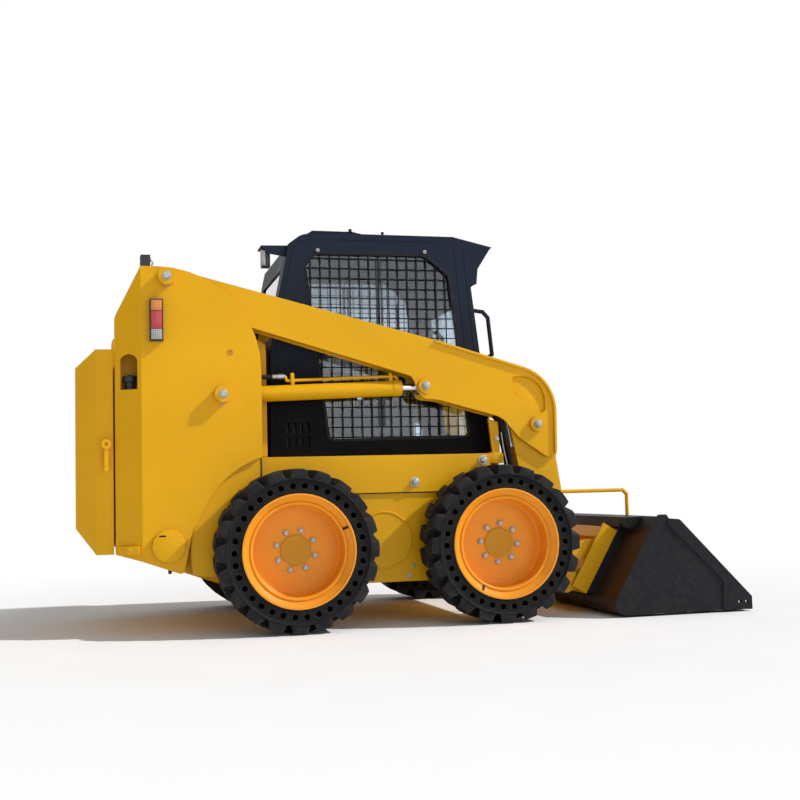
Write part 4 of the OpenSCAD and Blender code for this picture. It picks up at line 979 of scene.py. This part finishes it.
def pad(name, lo, hi, tilt, channels, mat="seat_vinyl"):
    """A seat pad between two corners, with sewn channels across its face."""
    bm = bmesh.new()
    bmesh.ops.create_cube(bm, size=1)
    for v in bm.verts:
        v.co = Vector([(l + (h - l) * (c + 0.5)) / 1000 for l, h, c in zip(lo, hi, v.co)])
    bmesh.ops.bevel(bm, geom=bm.edges[:], offset=0.026, segments=4, affect="EDGES", profile=0.5)
    mesh = bpy.data.meshes.new(name)
    bm.to_mesh(mesh)
    bm.free()
    obj = bpy.data.objects.new(name, mesh)
    bpy.context.scene.collection.objects.link(obj)
    remesh = obj.modifiers.new("remesh", "REMESH")
    remesh.mode, remesh.voxel_size = "VOXEL", 0.006
    bpy.context.view_layer.update()
    fine = bpy.data.meshes.new_from_object(obj.evaluated_get(bpy.context.evaluated_depsgraph_get()))
    obj.modifiers.clear()
    obj.data = fine
    swell(obj, CROWN)
    top = hi[2] / 1000
    for v in obj.data.vertices:
        dent = sum(math.exp(-((v.co.x - c / 1000) / SEAM_W) ** 2) for c in channels)
        dent += sum(math.exp(-((v.co.y - c / 1000) / SEAM_W) ** 2) for c in SIDE_SEAMS)
        if v.co.z > top - 0.03:
            v.co.z -= SEAM_DEEP * min(1.2, dent)
    obj.data.transform(tilt)
    obj.data.materials.clear()
    obj.data.materials.append(MAT[mat])
    obj.data.shade_smooth()
    obj.modifiers.new("smooth", "SUBSURF").render_levels = 1
    obj.modifiers["smooth"].levels = 1
    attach(obj, "chassis")
    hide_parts("seat")


pad("seat_cushion", (-316, -222, 1032), (128, 222, 1108), MID, (-200, -90, 20))
lean = Matrix.Translation(P(-290, 0, 1118)) @ Matrix.Rotation(math.radians(-79), 4, "Y")
pad("seat_back", (14, -212, 6), (505, 212, 74), lean, (120, 240, 360))

# Piping round the seat cushion
piping = Shell()
loop = rounded([(-322, -226, 40), (134, -226, 50), (134, 226, 50), (-322, 226, 40)], 8)
for z in (1036, 1104):
    piping.add(sweep([(x, y, z) for x, y in loop], 4, 8, True))
piping.make("seat_piping", "trim_plastic", "chassis")

# Grips and boots on the levers, rests on the consoles, mat on the floor
GRIP = [(0, 0), (17, 0), (20, 6), (19, 30), (23, 62), (24, 84), (19, 98), (9, 104), (0, 105)]
BOOT = [(0, 0), (42, 0), (44, 4), (36, 14), (38, 20), (29, 30), (31, 36), (22, 46), (17, 60), (0, 60)]
LEVER_Y, CONSOLE_TOP = 325, RAIL_TOP + 250
grips, mat_ribs = Shell(), Shell()
for side, s in SIDES:
    grips.add(lathe(GRIP, 28), place(P(134, s * LEVER_Y, CONSOLE_TOP + 122), (0.05, 0, 1)))
    grips.add(lathe(BOOT, 36), place(P(112, s * LEVER_Y, CONSOLE_TOP), (0.1, 0, 1)))
    grips.add(block((-118, 282, CONSOLE_TOP), (62, 368, CONSOLE_TOP + 32), 12, 3), MID, s < 0)
grips.make("lever_grips", "trim_plastic", "chassis")
for y in range(-380, 388, 32):
    mat_ribs.add(block((112, y, 572), (590, y + 16, 577), 1.5))
mat_ribs.add(block((108, -388, 572), (600, 388, 574.5), 1))
mat_ribs.make("floor_mat", "seal_rubber", "chassis")


# Rear: filler necks in the towers' openings, grille behind the door's slots

FILLER_NECK = [(0, 0), (26, 0), (26, 78), (0, 78)]
FILLER_CAP = [(0, 78), (34, 78), (36, 81), (36, 104), (33, 108), (12, 109), (10, 114), (0, 115)]
for side, s in SIDES:
    foot = place(P(-1290, s * 520, 1150), (0, 0, 1))
    neck = Shell().add(lathe(FILLER_NECK, 32), foot).add(lathe(FILLER_CAP, 24), foot)
    neck.make(f"filler_cap_{side}", "trim_plastic", "chassis")
grille = Shell()
for y in range(-384, 396, 15):
    grille.add(block((-1520, y, 640), (-1514, y + 4, 1224), 0.8, 1))
for z in range(640, 1276, 53):
    grille.add(block((-1514, -392, z), (-1510, 392, z + 5), 0.8, 1))
grille.make("rear_grille", "trim_plastic", "engine_door")


# Bolts along the bucket's cutting edge

EDGE_BOLT = [(0, 0), (16, 0), (15, 5), (11, 9), (0, 10)]
edge_bolts = Shell()
for y in range(-760, 761, 190):
    edge_bolts.add(lathe(EDGE_BOLT, 24), place(P(1750, y, 24), (0, 0, 1)))
edge_bolts.make("edge_bolts", "edge_steel", "bucket")


# Light, floor and background

# Name, direction towards the lamp, strength, angle in degrees
LAMPS = (("key", (0.71, -0.28, 0.65), 2.8, 1.5), ("fill", (0.3, -0.9, 0.2), 0.36, 40))
SKY_COLOUR = (0.95, 0.975, 1.0, 1)
# The sky's strength by its direction's x: dimmer behind the machine than beside and ahead of it
SKY_LEVEL = {"From Min": -1.0, "From Max": 0.2, "To Min": 0.28, "To Max": 0.47}
FLOOR_REACH, FLOOR_FADE = 40, (2.2, 4.5)


def seen_rays(tree):
    """1 for camera, glossy and transmission rays, 0 for those that only bring light."""
    path = tree.nodes.new("ShaderNodeLightPath")
    seen = path.outputs["Is Camera Ray"]
    for name in ("Is Glossy Ray", "Is Transmission Ray"):
        either = tree.nodes.new("ShaderNodeMath")
        either.operation = "MAXIMUM"
        tree.links.new(seen, either.inputs[0])
        tree.links.new(path.outputs[name], either.inputs[1])
        seen = either.outputs[0]
    return seen


def make_stage():
    scene = bpy.context.scene
    scene.view_settings.view_transform = "Standard"
    world = bpy.data.worlds.new("studio")
    scene.world = world
    world.use_nodes = True
    t = world.node_tree
    bg = t.nodes["Background"]
    bg.inputs["Color"].default_value = SKY_COLOUR
    ray = t.nodes.new("ShaderNodeTexCoord")
    apart = t.nodes.new("ShaderNodeSeparateXYZ")
    level = t.nodes.new("ShaderNodeMapRange")
    for key, v in SKY_LEVEL.items():
        level.inputs[key].default_value = v
    t.links.new(ray.outputs["Generated"], apart.inputs[0])
    t.links.new(apart.outputs["X"], level.inputs["Value"])
    t.links.new(level.outputs["Result"], bg.inputs["Strength"])
    white = t.nodes.new("ShaderNodeBackground")
    white.inputs["Color"].default_value = (1, 1, 1, 1)
    mix = t.nodes.new("ShaderNodeMixShader")
    t.links.new(seen_rays(t), mix.inputs[0])
    t.links.new(bg.outputs[0], mix.inputs[1])
    t.links.new(white.outputs[0], mix.inputs[2])
    t.links.new(mix.outputs[0], t.nodes["World Output"].inputs["Surface"])

    mesh = bpy.data.meshes.new("floor")
    r = FLOOR_REACH
    mesh.from_pydata([(-r, -r, 0), (r, -r, 0), (r, r, 0), (-r, r, 0)], [], [[0, 1, 2, 3]])
    floor = bpy.data.objects.new("floor", mesh)
    scene.collection.objects.link(floor)
    floor.location.z = -0.0005
    m = Nodes("floor")
    dist = m.add("ShaderNodeVectorMath", {0: m.pos}, operation="LENGTH").outputs["Value"]
    m.set(Base_Color=m.mix(m.vary(3, 3), (0.93, 0.93, 0.93), (0.95, 0.95, 0.95)), Roughness=0.9,
          Specular_IOR_Level=0.0)
    glow = m.add("ShaderNodeEmission", {"Color": (1.0, 1.0, 1.0), "Strength": 1.0})
    fade = m.times(seen_rays(m.tree), m.ramp(dist, *FLOOR_FADE))
    blend = m.add("ShaderNodeMixShader", {0: fade, 1: m.bsdf.outputs[0], 2: glow.outputs[0]})
    m.tree.links.new(blend.outputs[0], m.tree.nodes["Material Output"].inputs["Surface"])
    mesh.materials.append(m.mat)

    for name, direction, strength, angle in LAMPS:
        light = bpy.data.lights.new(name, "SUN")
        light.energy = strength
        light.angle = math.radians(angle)
        obj = bpy.data.objects.new(name, light)
        scene.collection.objects.link(obj)
        obj.rotation_mode = "QUATERNION"
        obj.rotation_quaternion = Vector(direction).to_track_quat("Z", "Y")


make_stage()
